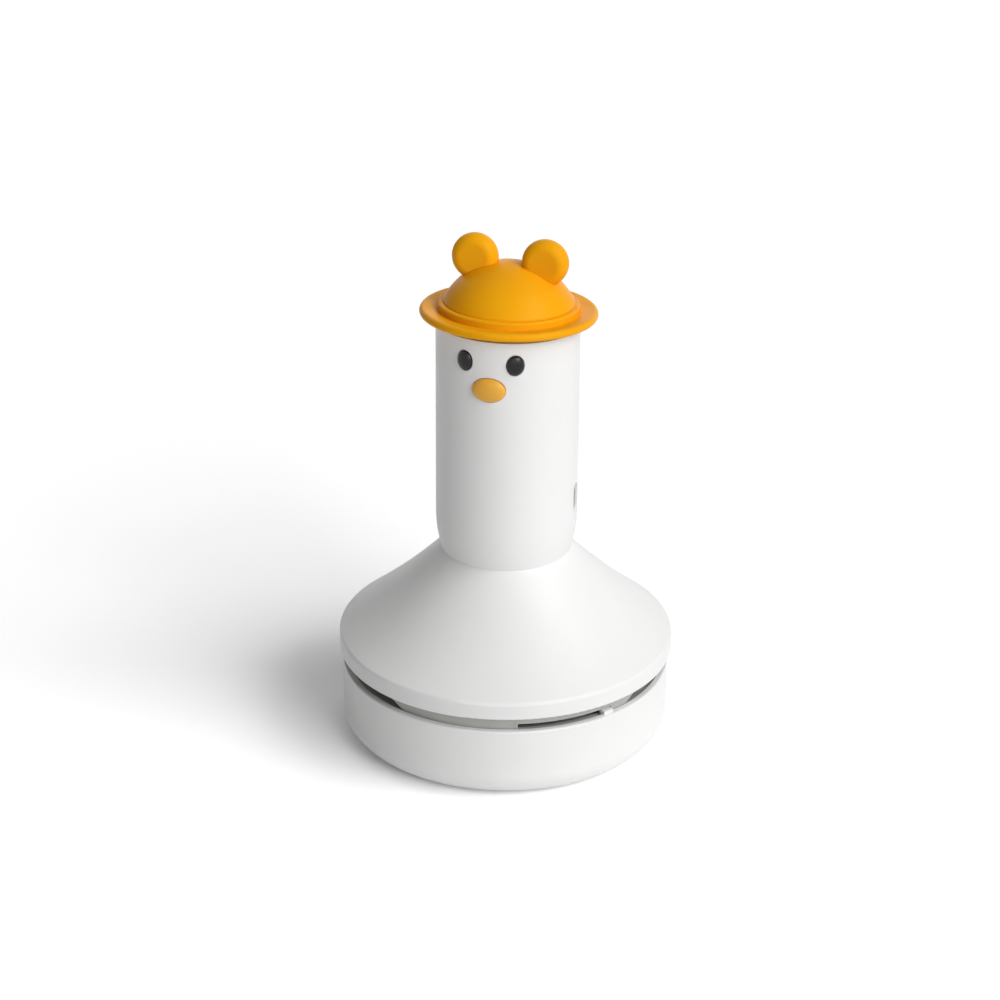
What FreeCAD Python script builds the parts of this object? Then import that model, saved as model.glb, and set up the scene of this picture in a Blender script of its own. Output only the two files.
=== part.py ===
import FreeCAD, Part

import math
import os

import Sketcher

# Desktop mini vacuum cleaner with a round dust tray, a conical casing, a tube handle with a bird's face,
# and a hat that is the push button. Millimetres. The origin is the centre of the base on the table,
# +Z up, the face looks along -Y. Angles are in degrees, counted from +X towards +Y seen from above.

GENERAL_SIZES = {
    "wall": 1.8,                 # of the tray, the casing and the handle
    "plate": 1.5,                # of the inner floors and flanges
    "edge_round": 0.5,           # on the rims that show
    "fit_gap": 0.3,              # between pieces that move past each other
    "seat_gap": 0.1,             # round pegs, screws and inserts
    "running_gap": 0.05,         # round shafts and plungers
    "overrun": 2.0,              # how far a cut runs past the face
}

TRAY_SIZES = {
    "foot_height": 0.8,
    "foot_depth": 0.6,           # sunk into the tray
    "foot_radius": 4.0,
    "foot_inset": 4.9,           # from the flat floor's edge to the foot
    "foot_angle": 45.0,
    "tray_radius": 48.1,
    "tray_height": 22.1,
    "tray_round": 7.2,           # at the tray's lower edge
    "well_margin": 1.5,          # raised middle of the tray's floor round the duct's flange
    "well_rise": 1.8,
    "lug_reach": 1.3,            # in from the tray's wall
    "lug_height": 1.5,
    "lug_angle": 4.0,
    "lug_turn": -36.0,           # middle of the first lug
}

DUCT_SIZES = {
    "duct_bore": 11.0,           # radius of the suction inlet
    "duct_wall": 1.4,
    "duct_margin": 3.3,          # of the flange outside the bristles' circle
    "duct_flange": 1.2,
    "bead": 0.5,                 # snap bead above the tray's floor
    "bead_height": 0.8,
    "bristle_radius": 0.8,
    "bristle_offset": 2.8,       # of the tufts' circle from the duct's outer face
    "bristle_root": 0.6,
    "bristle_lift": 0.25,        # of the tips above the table
    "hood_eave": 2.1,            # of the hood past the duct's outer face
    "hood_lift": 3.0,            # open height between duct and hood
    "hood_gap": 1.5,             # between the hood and the filter
    "hood_plate": 1.2,
    "hood_dome": 0.6,
    "hood_collar": 3.0,
    "hood_collar_wall": 1.0,
    "hood_leg_angle": 24.0,
}

RING_SIZES = {
    "ring_gap": 0.4,             # between the ring and the tray's wall
    "ring_wall": 2.0,
    "ring_height": 12.0,
    "slot_drop": 0.7,            # of the slot's lower edge below the tray's rim
    "slot_band": 2.7,            # height of the band below the slot
    "twist_angle": 32.0,         # of the casing on the tray
    "lug_play": 0.5,             # angle left free at each end of the slot
    "skirt_gap": 1.6,            # between the skirt and the tray's wall
    "skirt_wall": 2.2,
    "skirt_drop": 5.0,
    "groove_depth": 0.6,
    "groove_lift": 1.3,
    "window_turn": 20.0,         # middle of the first window
    "window_angle": 66.5,        # along its upper edge
    "window_lift": 0.6,          # above the ring's floor
    "window_margin": 2.4,        # below the ring's flange
    "window_slant": 12.0,        # how far each end leans out towards the bottom
    "flange_width": 5.4,
    "ring_screw_angle": 45.0,
    "seam_width": 0.3,           # fine upright line beside each slot
    "seam_depth": 0.2,
    "seam_angle": 1.2,           # from the slot's end
}

CASING_SIZES = {
    "exhaust_gap": 4.2,
    "casing_eave": 0.9,          # of the casing past the tray
    "shoulder_lift": 0.1,        # above the vent ring
    "shoulder_round": 1.4,
    "cone_height": 27.9,
    "cone_sag": 0.87,
    "neck_step": 0.2,            # of the neck inside the handle's foot
    "neck_plate": 2.0,
    "neck_hole_margin": 2.1,     # inside the neck screws' circle
    "boss_radius": 2.6,
    "boss_reach": 20.0,
}

FAN_SIZES = {
    "cup_gap": 1.5,              # between the cup and the foam
    "eye_radius": 11.5,
    "column_margin": 3.0,        # of the columns' axes inside the mount's edge
    "column_radius": 2.2,
    "column_angle": 60.0,
    "chamber_height": 11.5,
    "mount_gap": 0.47,           # between the mount and the casing
    "mount_plate": 2.0,
    "mount_screw_inset": 8.4,    # from the mount's edge
    "foam_width": 4.5,
    "foam_gap": 2.9,             # from the vent ring's wall
    "foam_margin": 0.5,          # under the ring screws' heads
    "filter_gap": 1.8,           # between the filter and the cup
    "filter_wall": 1.5,
    "filter_margin": 3.0,        # from the filter's top to the cup's underside
    "filter_flange": 3.9,
    "filter_rim": 1.3,
    "filter_bar": 2.0,
    "media_drop": 0.6,           # of the pleats below the frame's top
    "pleat_width": 2.4,
    "pleat_depth": 4.0,
    "pleat_pitch": 5.6,
}

MOTOR_SIZES = {
    "shaft_radius": 1.0,
    "shaft_end": 2.4,            # from the shaft's foot to the chamber's floor
    "can_gap": 1.3,              # between the motor and the neck's hole
    "can_length": 22.0,
    "can_wall": 0.8,
    "nose_radius": 3.0,
    "nose_length": 1.4,
    "magnet_thickness": 2.7,
    "magnet_lift": 3.0,
    "magnet_drop": 5.0,          # of the magnets' top below the can's rim
    "magnet_angle": 140.0,
    "armature_gap": 0.6,         # between the armature and the magnets
    "armature_inset": 1.0,       # of the armature's ends inside the magnets'
    "commutator_radius": 3.5,
    "commutator_length": 3.0,
    "end_cap_height": 1.2,
    "end_cap_depth": 1.0,
    "motor_screw_inset": 4.0,    # from the can's edge
    "terminal_height": 2.8,
    "terminal_width": 2.0,
    "terminal_thickness": 0.5,
    "terminal_gap": 2.72,        # from the board's back to the terminals
    "terminal_apart": 8.0,
    "impeller_gap": 0.6,         # from the blades' tips to the columns
    "impeller_drop": 1.5,        # below the mount screws' heads
    "impeller_lift": 1.5,
    "impeller_disc": 1.0,
    "hub_radius": 4.5,
    "blade_inner_radius": 12.0,
    "blade_thickness": 1.1,
    "blade_curve": 20.0,
    "blade_sweep": 34.0,
}

SCREW_SIZES = {
    "screw_radius": 1.2,
    "screw_head_radius": 1.9,
    "screw_head_height": 1.5,
    "screw_length": 6.0,
    "small_screw_radius": 0.9,
    "small_head_radius": 1.5,
    "small_head_height": 1.2,
    "small_screw_length": 3.4,
    "socket_radius": 0.8,
    "socket_depth": 0.7,
}

HANDLE_SIZES = {
    "handle_radius": 20.54,
    "heel_height": 11.0,         # lower stretch that draws in
    "heel_curve": 40.0,
    "handle_flange": 2.0,
    "neck_screw_inset": 3.4,     # from the handle's foot
    "neck_screw_angle": 60.0,
    "ledge_drop": 8.65,          # from the handle's top to the ledge's lower face
    "ledge_margin": 1.7,         # of the ledge inside its screws' circle
    "ledge": 2.0,
    "rail_depth": 2.0,
    "rail_lap": 3.5,             # of the rails behind the board's edges
    "rail_margin": 4.5,          # above the board
    "pocket_depth": 0.7,         # of the recess round each face piece
    "pocket_gap": 0.22,
    "eye_drop": 5.1,             # below the middle of the slanting top
    "eye_turn": 20.8,
    "eye_half_width": 2.45,
    "eye_half_height": 2.95,
    "eye_depth": 1.25,
    "beak_drop": 12.8,
    "beak_half_width": 4.9,
    "beak_half_height": 3.5,
    "beak_depth": 1.9,
    "peg_radius": 1.4,
    "peg_length": 1.6,
}

POWER_SIZES = {
    "usb_lift": 6.0,             # of the socket's middle above the handle's heel
    "usb_width": 8.94,
    "usb_thickness": 3.26,
    "usb_depth": 7.3,
    "usb_shell": 0.3,
    "usb_tongue": 6.6,
    "usb_tongue_thickness": 0.7,
    "usb_recess": 0.64,          # of the socket's mouth in the handle's wall
    "board_thickness": 1.6,
    "board_gap": 2.24,           # from the board's edges to the handle's wall
    "board_margin": 0.5,         # of the board below the cradle
    "board_drop": 3.9,           # of the board's top below the cradle's
    "board_screw_inset": 1.6,
    "board_screw_drop": 6.0,
    "coil_radius": 3.0,
    "coil_height": 3.2,
    "chip_width": 5.0,
    "chip_thickness": 1.4,
    "chip_gap": 0.5,             # from the chips to the rails
    "chip_drop": 8.9,            # of the chips' lower edge below the board's top
    "coil_drop": 17.1,
    "cell_length": 34.5,
    "cell_nub_radius": 3.0,
    "cell_nub": 0.8,
    "cell_lift": 8.8,            # of the cell's foot above the motor's cap
    "cell_gap": 1.94,            # from the cell to the handle's front wall
    "cell_clearance": 1.48,      # from the cell to the cradle's back
    "contact": 0.4,
    "contact_width": 8.0,
    "contact_tab": 3.0,
    "contact_tab_length": 5.0,
    "cell_spring_space": 3.4,
    "cell_spring_radius": 3.2,
    "spring_wire": 0.3,
    "cradle_plate": 1.2,
    "cradle_margin": 1.0,        # of the cradle past the cell on each side
    "cradle_wall": 0.8,
    "cradle_peg_radius": 1.0,
    "cradle_peg_inset": 1.6,
    "cradle_peg_edge": 6.5,
    "lead_radius": 0.6,
    "lead_rise": 9.0,
}

HAT_SIZES = {
    "hat_tilt": 4.2,
    "hat_back": 0.68,            # how far the hat sits behind the handle's axis
    "hat_gap": 0.4,              # left under the brim of the pressed hat
    "hat_travel": 1.2,
    "brim_reach": 4.81,          # of the brim past the handle
    "brim_thickness": 2.4,
    "brim_dish": 0.4,            # of the brim's upper face near the dome
    "band_inset": 0.34,          # from the handle's radius
    "band_height": 2.9,          # above the brim's middle plane
    "band_round": 0.7,
    "groove_rise": 0.4,
    "dome_inset": 1.5,           # from the band
    "dome_height": 14.6,
    "hollow_gap": 1.7,           # from the cap's collar
    "hollow_height": 1.9,
    "ear_radius": 6.7,
    "ear_thickness": 6.4,
    "ear_round": 2.9,
    "ear_offset": 1.7,           # of the ears' distance over the dome's radius
    "ear_rise": 0.7,             # of the ears' middle above the dome
    "ear_peg_radius": 2.0,
    "ear_peg_drop": 8.4,
    "cap_disc": 2.0,
    "cap_screw_inset": 2.6,      # from the collar's inner face
    "collar_gap": 1.54,          # from the handle's inner wall
    "collar_wall": 1.4,
    "collar_height": 6.8,
    "guide_wall": 1.95,
    "guide_height": 5.3,
    "stem_radius": 4.0,
    "stem_foot": 3.85,           # above the cap's lower face
    "stem_length": 14.0,
    "stem_collar_radius": 8.2,
    "stem_collar": 1.5,
    "stem_collar_lift": 7.0,     # above the stem's foot
    "hat_boss_radius": 6.0,
    "hat_spring_radius": 7.0,
    "hat_spring_wire": 0.35,
    "switch_gap": 1.3,           # between the switch and the cradle
    "switch_height": 7.0,
    "switch_ear_depth": 6.0,
    "switch_ear": 1.6,
    "switch_pocket": 4.2,
    "switch_pin_lap": 2.0,       # of the pins on the board
    "switch_cover": 0.07,        # of the switch's box behind its pins
    "plunger_radius": 1.6,
    "plunger_gap": 0.2,          # left under the pressed plunger
}

SWITCH_SHARES = {
    "box_share": 0.348,          # of the ledge's opening
    "ear_share": 0.748,
    "screw_share": 0.278,
}

FOOT_COUNT = 4
BRISTLE_COUNT = 24
LEG_COUNT = 3
PAIR = 2
RING_SCREW_COUNT = 4
TRIO = 3
BLADE_COUNT = 9
GRID_BAR_COUNT = 3
PLEAT_COUNT = 9
CELL_SPRING_TURNS = 3
HAT_SPRING_TURNS = 5

FULL_TURN = 360
LEFT = 1
RIGHT = -1

DOC = FreeCAD.newDocument("desktop_vacuum")
PARTS = []


class Size:
    """A size, known both as a number and as a formula on the sheet."""

    def __init__(self, number, formula):
        self.number = number
        self.formula = formula

    def __add__(self, other):
        other = size_of(other)
        return Size(self.number + other.number, f"({self.formula} + {other.formula})")

    def __radd__(self, other):
        return size_of(other) + self

    def __sub__(self, other):
        other = size_of(other)
        return Size(self.number - other.number, f"({self.formula} - {other.formula})")

    def __rsub__(self, other):
        return size_of(other) - self

    def __mul__(self, other):
        other = size_of(other)
        return Size(self.number * other.number, f"({self.formula} * {other.formula})")

    def __rmul__(self, other):
        return size_of(other) * self

    def __truediv__(self, other):
        other = size_of(other)
        return Size(self.number / other.number, f"({self.formula} / {other.formula})")

    def __neg__(self):
        return Size(-self.number, f"(0 - {self.formula})")


def size_of(value):
    """Take a plain number as a size."""
    if isinstance(value, Size):
        return value
    return Size(float(value), repr(value))


def cosine(angle):
    """Cosine of an angle in degrees."""
    angle = size_of(angle)
    return Size(math.cos(math.radians(angle.number)), f"cos({angle.formula} * 1deg)")


def sine(angle):
    """Sine of an angle in degrees."""
    angle = size_of(angle)
    return Size(math.sin(math.radians(angle.number)), f"sin({angle.formula} * 1deg)")


def arc_tangent(ratio):
    """Angle in degrees whose tangent is the ratio."""
    return Size(math.degrees(math.atan(ratio.number)), f"(atan({ratio.formula}) / 1deg)")


def arc_cosine(ratio):
    """Angle in degrees whose cosine is the ratio."""
    return Size(math.degrees(math.acos(ratio.number)), f"(acos({ratio.formula}) / 1deg)")


def root(value):
    """Square root."""
    return Size(math.sqrt(value.number), f"sqrt({value.formula})")


def around(circle, angle):
    """Place on a circle about the upright axis."""
    return circle * cosine(angle), circle * sine(angle)


class Sheet:
    """The driving sizes, kept in a spreadsheet of the document."""

    def __init__(self, groups):
        self.cells = DOC.addObject("Spreadsheet::Sheet", "Sizes")
        self.numbers = {}
        row = 0
        for group in groups:
            for alias, number in group.items():
                row += 1
                self.cells.set(f"A{row}", alias)
                self.cells.set(f"B{row}", repr(number))
                self.cells.setAlias(f"B{row}", alias)
                self.numbers[alias] = number
        DOC.recompute()

    def __getattr__(self, alias):
        return Size(self.numbers[alias], "Sizes." + alias)


S = Sheet([GENERAL_SIZES, TRAY_SIZES, DUCT_SIZES, RING_SIZES, CASING_SIZES, FAN_SIZES, MOTOR_SIZES,
           SCREW_SIZES, HANDLE_SIZES, POWER_SIZES, HAT_SIZES, SWITCH_SHARES])


def bind(piece, path, value):
    """Give a property its number, and its formula where the sheet drives it."""
    value = size_of(value)
    if "Sizes." in value.formula:
        piece.setExpression(path, value.formula)
    elif "." not in path:
        setattr(piece, path, value.number)


def place(piece, x=0, y=0, z=0, yaw=0, pitch=0, roll=0):
    """Place a piece, with each coordinate and angle tied to its formula."""
    yaw = size_of(yaw)
    while yaw.number > FULL_TURN / 2:
        yaw = yaw - FULL_TURN
    turn = FreeCAD.Rotation(size_of(yaw).number, size_of(pitch).number, size_of(roll).number)
    spot = FreeCAD.Vector(size_of(x).number, size_of(y).number, size_of(z).number)
    piece.Placement = FreeCAD.Placement(spot, turn)
    bind(piece, "Placement.Base.x", x)
    bind(piece, "Placement.Base.y", y)
    bind(piece, "Placement.Base.z", z)
    bind(piece, "Placement.Rotation.Yaw", yaw)
    bind(piece, "Placement.Rotation.Pitch", pitch)
    bind(piece, "Placement.Rotation.Roll", roll)


def cylinder(name, radius, height, x=0, y=0, z=0, sweep=FULL_TURN, yaw=0, pitch=0, roll=0):
    """Upright cylinder, or a sector of one, on the middle of its lower face."""
    piece = DOC.addObject("Part::Cylinder", name)
    bind(piece, "Radius", radius)
    bind(piece, "Height", height)
    bind(piece, "Angle", sweep)
    place(piece, x, y, z, yaw, pitch, roll)
    return piece


def block(name, length, width, height, x=0, y=0, z=0):
    """Box whose lower face is centred on x and y."""
    piece = DOC.addObject("Part::Box", name)
    length = size_of(length)
    width = size_of(width)
    bind(piece, "Length", length)
    bind(piece, "Width", width)
    bind(piece, "Height", height)
    place(piece, x - length / 2, y - width / 2, z)
    return piece


def bar(name, length, width, height, z, yaw):
    """Box across the upright axis, turned about it."""
    piece = DOC.addObject("Part::Box", name)
    bind(piece, "Length", length)
    bind(piece, "Width", width)
    bind(piece, "Height", height)
    shift_x = -(length / 2) * cosine(yaw) + (width / 2) * sine(yaw)
    shift_y = -(length / 2) * sine(yaw) - (width / 2) * cosine(yaw)
    place(piece, shift_x, shift_y, z, yaw)
    return piece


def fused(name, pieces):
    """One solid from several."""
    piece = DOC.addObject("Part::MultiFuse", name)
    piece.Shapes = pieces
    return piece


def cut(name, base, tool):
    """The base without the tool."""
    piece = DOC.addObject("Part::Cut", name)
    piece.Base = base
    piece.Tool = tool
    return piece


def shared(name, base, tool):
    """What the base and the tool share."""
    piece = DOC.addObject("Part::Common", name)
    piece.Base = base
    piece.Tool = tool
    return piece


def group(name, pieces):
    """Separate solids kept together."""
    piece = DOC.addObject("Part::Compound", name)
    piece.Links = pieces
    return piece


def part(name, piece):
    """Name a finished sub-part."""
    piece.Label = name
    PARTS.append(piece)
    return piece


def corner(across, up):
    """Outline point that a straight edge leads to."""
    return size_of(across), size_of(up), None, 0


def curve(across, up, radius, turn):
    """Outline point that an arc leads to, turning left or right."""
    return size_of(across), size_of(up), size_of(radius), turn


def arc_between(start, end, radius, turn):
    """Arc from start to end, the short way, as sketch geometry."""
    half = (end - start) * 0.5
    reach = math.sqrt(radius ** 2 - half.Length ** 2)
    side = FreeCAD.Vector(-half.y, half.x, 0).normalize() * (reach * turn)
    centre = start + half + side
    first = math.atan2(start.y - centre.y, start.x - centre.x)
    last = math.atan2(end.y - centre.y, end.x - centre.x)
    circle = Part.Circle(centre, FreeCAD.Vector(0, 0, 1), radius)
    if turn == LEFT:
        return Part.ArcOfCircle(circle, first, last)
    return Part.ArcOfCircle(circle, last, first)


def draw(sketch, outline):
    """Draw a closed outline, and tie each corner and radius to its formula."""
    ends = []
    for index, (across, up, radius, turn) in enumerate(outline):
        before = outline[index - 1]
        start = FreeCAD.Vector(before[0].number, before[1].number, 0)
        end = FreeCAD.Vector(across.number, up.number, 0)
        if radius is None:
            edge = sketch.addGeometry(Part.LineSegment(start, end), False)
        else:
            edge = sketch.addGeometry(arc_between(start, end, radius.number, turn), False)
        ends.append((edge, 2, 1) if turn == RIGHT else (edge, 1, 2))
    for index, (across, up, radius, turn) in enumerate(outline):
        edge, _, last = ends[index]
        after, first, _ = ends[(index + 1) % len(outline)]
        sketch.addConstraint(Sketcher.Constraint("Coincident", edge, last, after, first))
        tie_point(sketch, edge, last, across, up)
        if radius is not None:
            tie(sketch, Sketcher.Constraint("Radius", edge, radius.number), radius)


def tie_point(sketch, edge, end, across, up):
    """Hold a corner at its two distances from the sketch's origin."""
    if across.number == 0:
        sketch.addConstraint(Sketcher.Constraint("PointOnObject", edge, end, -2))
    else:
        tie(sketch, Sketcher.Constraint("DistanceX", -1, 1, edge, end, across.number), across)
    if up.number == 0:
        sketch.addConstraint(Sketcher.Constraint("PointOnObject", edge, end, -1))
    else:
        tie(sketch, Sketcher.Constraint("DistanceY", -1, 1, edge, end, up.number), up)


def tie(sketch, constraint, size):
    """Add a constraint whose value follows the sheet."""
    index = sketch.addConstraint(constraint)
    if "Sizes." in size.formula:
        sketch.setExpression(f"Constraints[{index}]", size.formula)


def sketch_in(body, name, plane_role):
    """Sketch on one of the body's own origin planes."""
    sketch = body.newObject("Sketcher::SketchObject", name)
    plane = [item for item in body.Origin.OriginFeatures if item.Role == plane_role][0]
    sketch.AttachmentSupport = [(plane, "")]
    sketch.MapMode = "FlatFace"
    return sketch


def turned(name, outline):
    """Solid of revolution about the upright axis, from an outline of radius and height."""
    body = DOC.addObject("PartDesign::Body", name + "_turned")
    sketch = sketch_in(body, name + "_outline", "XZ_Plane")
    draw(sketch, outline)
    solid = body.newObject("PartDesign::Revolution", name + "_revolution")
    solid.Profile = sketch
    solid.ReferenceAxis = (sketch, ["V_Axis"])
    solid.Angle = FULL_TURN
    return body


def raised(name, outline, height, lift):
    """Solid raised from an outline of x and y."""
    body = DOC.addObject("PartDesign::Body", name + "_raised")
    sketch = sketch_in(body, name + "_outline", "XY_Plane")
    bind(sketch, "AttachmentOffset.Base.z", lift)
    draw(sketch, outline)
    solid = body.newObject("PartDesign::Pad", name + "_pad")
    solid.Profile = sketch
    bind(solid, "Length", height)
    return body


def arc_block(name, inner, outer, height, z, sweep, yaw):
    """Piece of a ring between two radii and over an angle that starts at yaw."""
    whole = cylinder(name + "_whole", outer, height, z=z, sweep=sweep, yaw=yaw)
    core = cylinder(name + "_core", inner, height + S.overrun * 2, z=z - S.overrun)
    return cut(name, whole, core)


def on_circle(name, count, circle, start, make):
    """Pieces made one by one at equal angles on a circle."""
    pieces = []
    for index in range(count):
        x, y = around(circle, start + FULL_TURN / count * index)
        pieces.append(make(f"{name}_{index + 1}", x, y))
    return pieces


def screw(name, x, y, z, small=False, hangs=True):
    """Screw whose head's seat is at z. Its shank points up where it hangs under its seat, else down."""
    radius = S.small_screw_radius if small else S.screw_radius
    head_radius = S.small_head_radius if small else S.screw_head_radius
    head_height = S.small_head_height if small else S.screw_head_height
    length = S.small_screw_length if small else S.screw_length
    if hangs:
        head = cylinder(name + "_head", head_radius, head_height, x, y, z - head_height)
        shank = cylinder(name + "_shank", radius, length + head_height / 2, x, y, z - head_height / 2)
        socket_z = z - head_height - S.overrun + S.socket_depth
    else:
        head = cylinder(name + "_head", head_radius, head_height, x, y, z)
        shank = cylinder(name + "_shank", radius, length + head_height / 2, x, y, z - length)
        socket_z = z + head_height - S.socket_depth
    socket = DOC.addObject("Part::Prism", name + "_socket")
    bind(socket, "Circumradius", S.socket_radius)
    bind(socket, "Height", S.overrun)
    place(socket, x, y, socket_z)
    return cut(name, fused(name + "_blank", [head, shank]), socket)


# Places that several pieces share, from the table up and from the tray's wall inwards

TRAY_BOTTOM = S.foot_height
TRAY_TOP = TRAY_BOTTOM + S.tray_height
TRAY_INNER = S.tray_radius - S.wall
FOOT_CIRCLE = S.tray_radius - S.tray_round - S.foot_inset - S.foot_radius
LIP = TRAY_TOP + S.exhaust_gap
SLOT_LOW = TRAY_TOP - S.slot_drop
SLOT_HEIGHT = S.lug_height + S.fit_gap * 2
RING_FLOOR = SLOT_LOW - S.slot_band
RING_FLOOR_TOP = RING_FLOOR + S.plate
RING_TOP = RING_FLOOR + S.ring_height
FLANGE_LOW = RING_TOP - S.plate
RING_RADIUS = TRAY_INNER - S.ring_gap
RING_INNER = RING_RADIUS - S.ring_wall
FLANGE_INNER = RING_INNER - S.flange_width
RING_SCREW_CIRCLE = RING_INNER - S.flange_width / 2
WINDOW_LOW = RING_FLOOR_TOP + S.window_lift
WINDOW_HEIGHT = FLANGE_LOW - S.window_margin - WINDOW_LOW
SKIRT_RADIUS = TRAY_INNER - S.skirt_gap
SKIRT_INNER = SKIRT_RADIUS - S.skirt_wall
SKIRT_BOTTOM = RING_FLOOR - S.skirt_drop
GROOVE_RADIUS = SKIRT_RADIUS - S.groove_depth
SEAL_RADIUS = (TRAY_INNER - GROOVE_RADIUS) / 2 - S.running_gap
FOAM_OUTER = RING_INNER - S.foam_gap
FOAM_INNER = FOAM_OUTER - S.foam_width
CUP_RADIUS = FOAM_INNER - S.cup_gap
FILTER_RADIUS = CUP_RADIUS - S.plate - S.filter_gap
FILTER_LOW = RING_FLOOR - S.seat_gap - S.filter_rim
FILTER_TOP = FLANGE_LOW - S.filter_margin

WELL_UNDER = TRAY_BOTTOM + S.well_rise
WELL_TOP = WELL_UNDER + S.wall
DUCT_RADIUS = S.duct_bore + S.duct_wall
DUCT_FOOT = WELL_UNDER - S.duct_flange
BRISTLE_CIRCLE = DUCT_RADIUS + S.bristle_offset
DUCT_FLANGE_RADIUS = BRISTLE_CIRCLE + S.duct_margin
WELL_RADIUS = DUCT_FLANGE_RADIUS + S.well_margin
HOOD_TOP = FILTER_LOW - S.hood_gap
HOOD_LOW = HOOD_TOP - S.hood_plate
DUCT_TOP = HOOD_LOW - S.hood_lift

HANDLE_INNER = S.handle_radius - S.wall
HEEL_CENTRE = S.handle_radius - S.heel_curve
HEEL_RADIUS = HEEL_CENTRE + root(S.heel_curve * S.heel_curve - S.heel_height * S.heel_height)
NECK_SCREW_CIRCLE = HEEL_RADIUS - S.neck_screw_inset
NECK_HOLE = NECK_SCREW_CIRCLE - S.neck_hole_margin

BASE_RADIUS = S.tray_radius + S.casing_eave
SHOULDER = RING_TOP + S.shoulder_lift
NECK = SHOULDER + S.cone_height
NECK_RADIUS = HEEL_RADIUS - S.neck_step
CONE_CENTRE = BASE_RADIUS - S.shoulder_round
CONE_RUN = CONE_CENTRE - NECK_RADIUS
CONE_LEAN = 180 - arc_tangent(S.cone_height / CONE_RUN) - arc_cosine(
    S.shoulder_round / root(CONE_RUN * CONE_RUN + S.cone_height * S.cone_height))
TOUCH_R = CONE_CENTRE + S.shoulder_round * cosine(CONE_LEAN)
TOUCH_Z = SHOULDER + S.shoulder_round * sine(CONE_LEAN)
CONE_SLOPE = (TOUCH_R - NECK_RADIUS) / (NECK - TOUCH_Z)

MOUNT_LOW = RING_TOP + S.chamber_height
MOUNT_TOP = MOUNT_LOW + S.mount_plate
MOUNT_RADIUS = (NECK_RADIUS + (NECK - MOUNT_TOP) * CONE_SLOPE - (S.wall + S.cone_sag) / cosine(CONE_LEAN)
                - S.mount_gap)
COLUMN_CIRCLE = MOUNT_RADIUS - S.column_margin
MOUNT_SCREW_CIRCLE = MOUNT_RADIUS - S.mount_screw_inset
IMPELLER_LOW = RING_TOP + S.impeller_lift
IMPELLER_TOP = MOUNT_LOW - S.screw_head_height - S.impeller_drop
IMPELLER_RADIUS = COLUMN_CIRCLE - S.column_radius - S.impeller_gap
CAN_RADIUS = NECK_HOLE - S.can_gap
CAN_TOP = MOUNT_TOP + S.can_length
MAGNET_LOW = MOUNT_TOP + S.magnet_lift
MAGNET_LENGTH = CAN_TOP - S.magnet_drop - MAGNET_LOW
MAGNET_OUTER = CAN_RADIUS - S.can_wall - S.seat_gap
MAGNET_INNER = MAGNET_OUTER - S.magnet_thickness
MOTOR_SCREW_CIRCLE = CAN_RADIUS - S.motor_screw_inset
END_CAP_TOP = CAN_TOP + S.end_cap_height

HEEL_TOP = NECK + S.heel_height
USB_HEIGHT = HEEL_TOP + S.usb_lift
BOARD_FRONT = S.usb_thickness / 2 + S.running_gap
BOARD_BACK = BOARD_FRONT + S.board_thickness
TERMINAL_PLACE = BOARD_BACK + S.terminal_gap
CRADLE_BACK = BOARD_FRONT - S.contact - S.seat_gap * 2
CELL_RADIUS = (HANDLE_INNER - S.cell_gap + CRADLE_BACK - S.cell_clearance) / 2
CELL_PLACE = CRADLE_BACK - S.cell_clearance - CELL_RADIUS
CELL_FOOT = END_CAP_TOP + S.cell_lift
CELL_END = CELL_FOOT + S.cell_length + S.cell_nub
CRADLE_LOW = CELL_FOOT - S.cell_spring_space - S.contact - S.cradle_plate
CRADLE_TOP = CELL_END + S.contact + S.cradle_plate
CRADLE_WIDTH = (CELL_RADIUS + S.cradle_margin) * 2
BOARD_FOOT = CRADLE_LOW - S.board_margin
BOARD_TOP = CRADLE_TOP - S.board_drop
BOARD_HALF_WIDTH = HANDLE_INNER - S.board_gap
BOARD_SCREW_PLACE = BOARD_HALF_WIDTH - S.board_screw_inset
BOARD_SCREW_HEIGHT = BOARD_TOP - S.board_screw_drop
RAIL_REACH = BOARD_HALF_WIDTH - S.rail_lap

SWITCH_LOW = CRADLE_TOP + S.switch_gap
CAP_LOW = SWITCH_LOW + S.switch_height
CAP_TOP = CAP_LOW + S.cap_disc
COLLAR_RADIUS = HANDLE_INNER - S.collar_gap
COLLAR_INNER = COLLAR_RADIUS - S.collar_wall
CAP_SCREW_CIRCLE = COLLAR_INNER - S.cap_screw_inset
LEDGE_LOW = CAP_LOW - S.ledge
LEDGE_INNER = CAP_SCREW_CIRCLE - S.ledge_margin
SWITCH_WIDTH = LEDGE_INNER * S.box_share * 2
SWITCH_DEPTH = (BOARD_BACK + S.running_gap + S.lead_radius + S.switch_cover) * 2
SWITCH_EAR_WIDTH = LEDGE_INNER * S.ear_share * 2
SWITCH_SCREW_PLACE = LEDGE_INNER * S.screw_share * 2
HANDLE_TOP = LEDGE_LOW + S.ledge_drop
EYE_HEIGHT = HANDLE_TOP - S.eye_drop
BEAK_HEIGHT = HANDLE_TOP - S.beak_drop
STEM_FOOT = CAP_LOW + S.stem_foot
STEM_COLLAR_LOW = STEM_FOOT + S.stem_collar_lift
HAT_MIDDLE = HANDLE_TOP + S.hat_gap + S.hat_travel + S.brim_thickness / 2
BRIM_RADIUS = S.handle_radius + S.brim_reach
BAND_RADIUS = S.handle_radius - S.band_inset
DOME_RADIUS = BAND_RADIUS - S.dome_inset
HOLLOW_RADIUS = COLLAR_RADIUS + S.hollow_gap
EAR_APART = DOME_RADIUS + S.ear_offset
EAR_HEIGHT = S.dome_height + S.ear_rise


# Dust tray, with its feet, suction duct, bristles and hood

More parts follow.
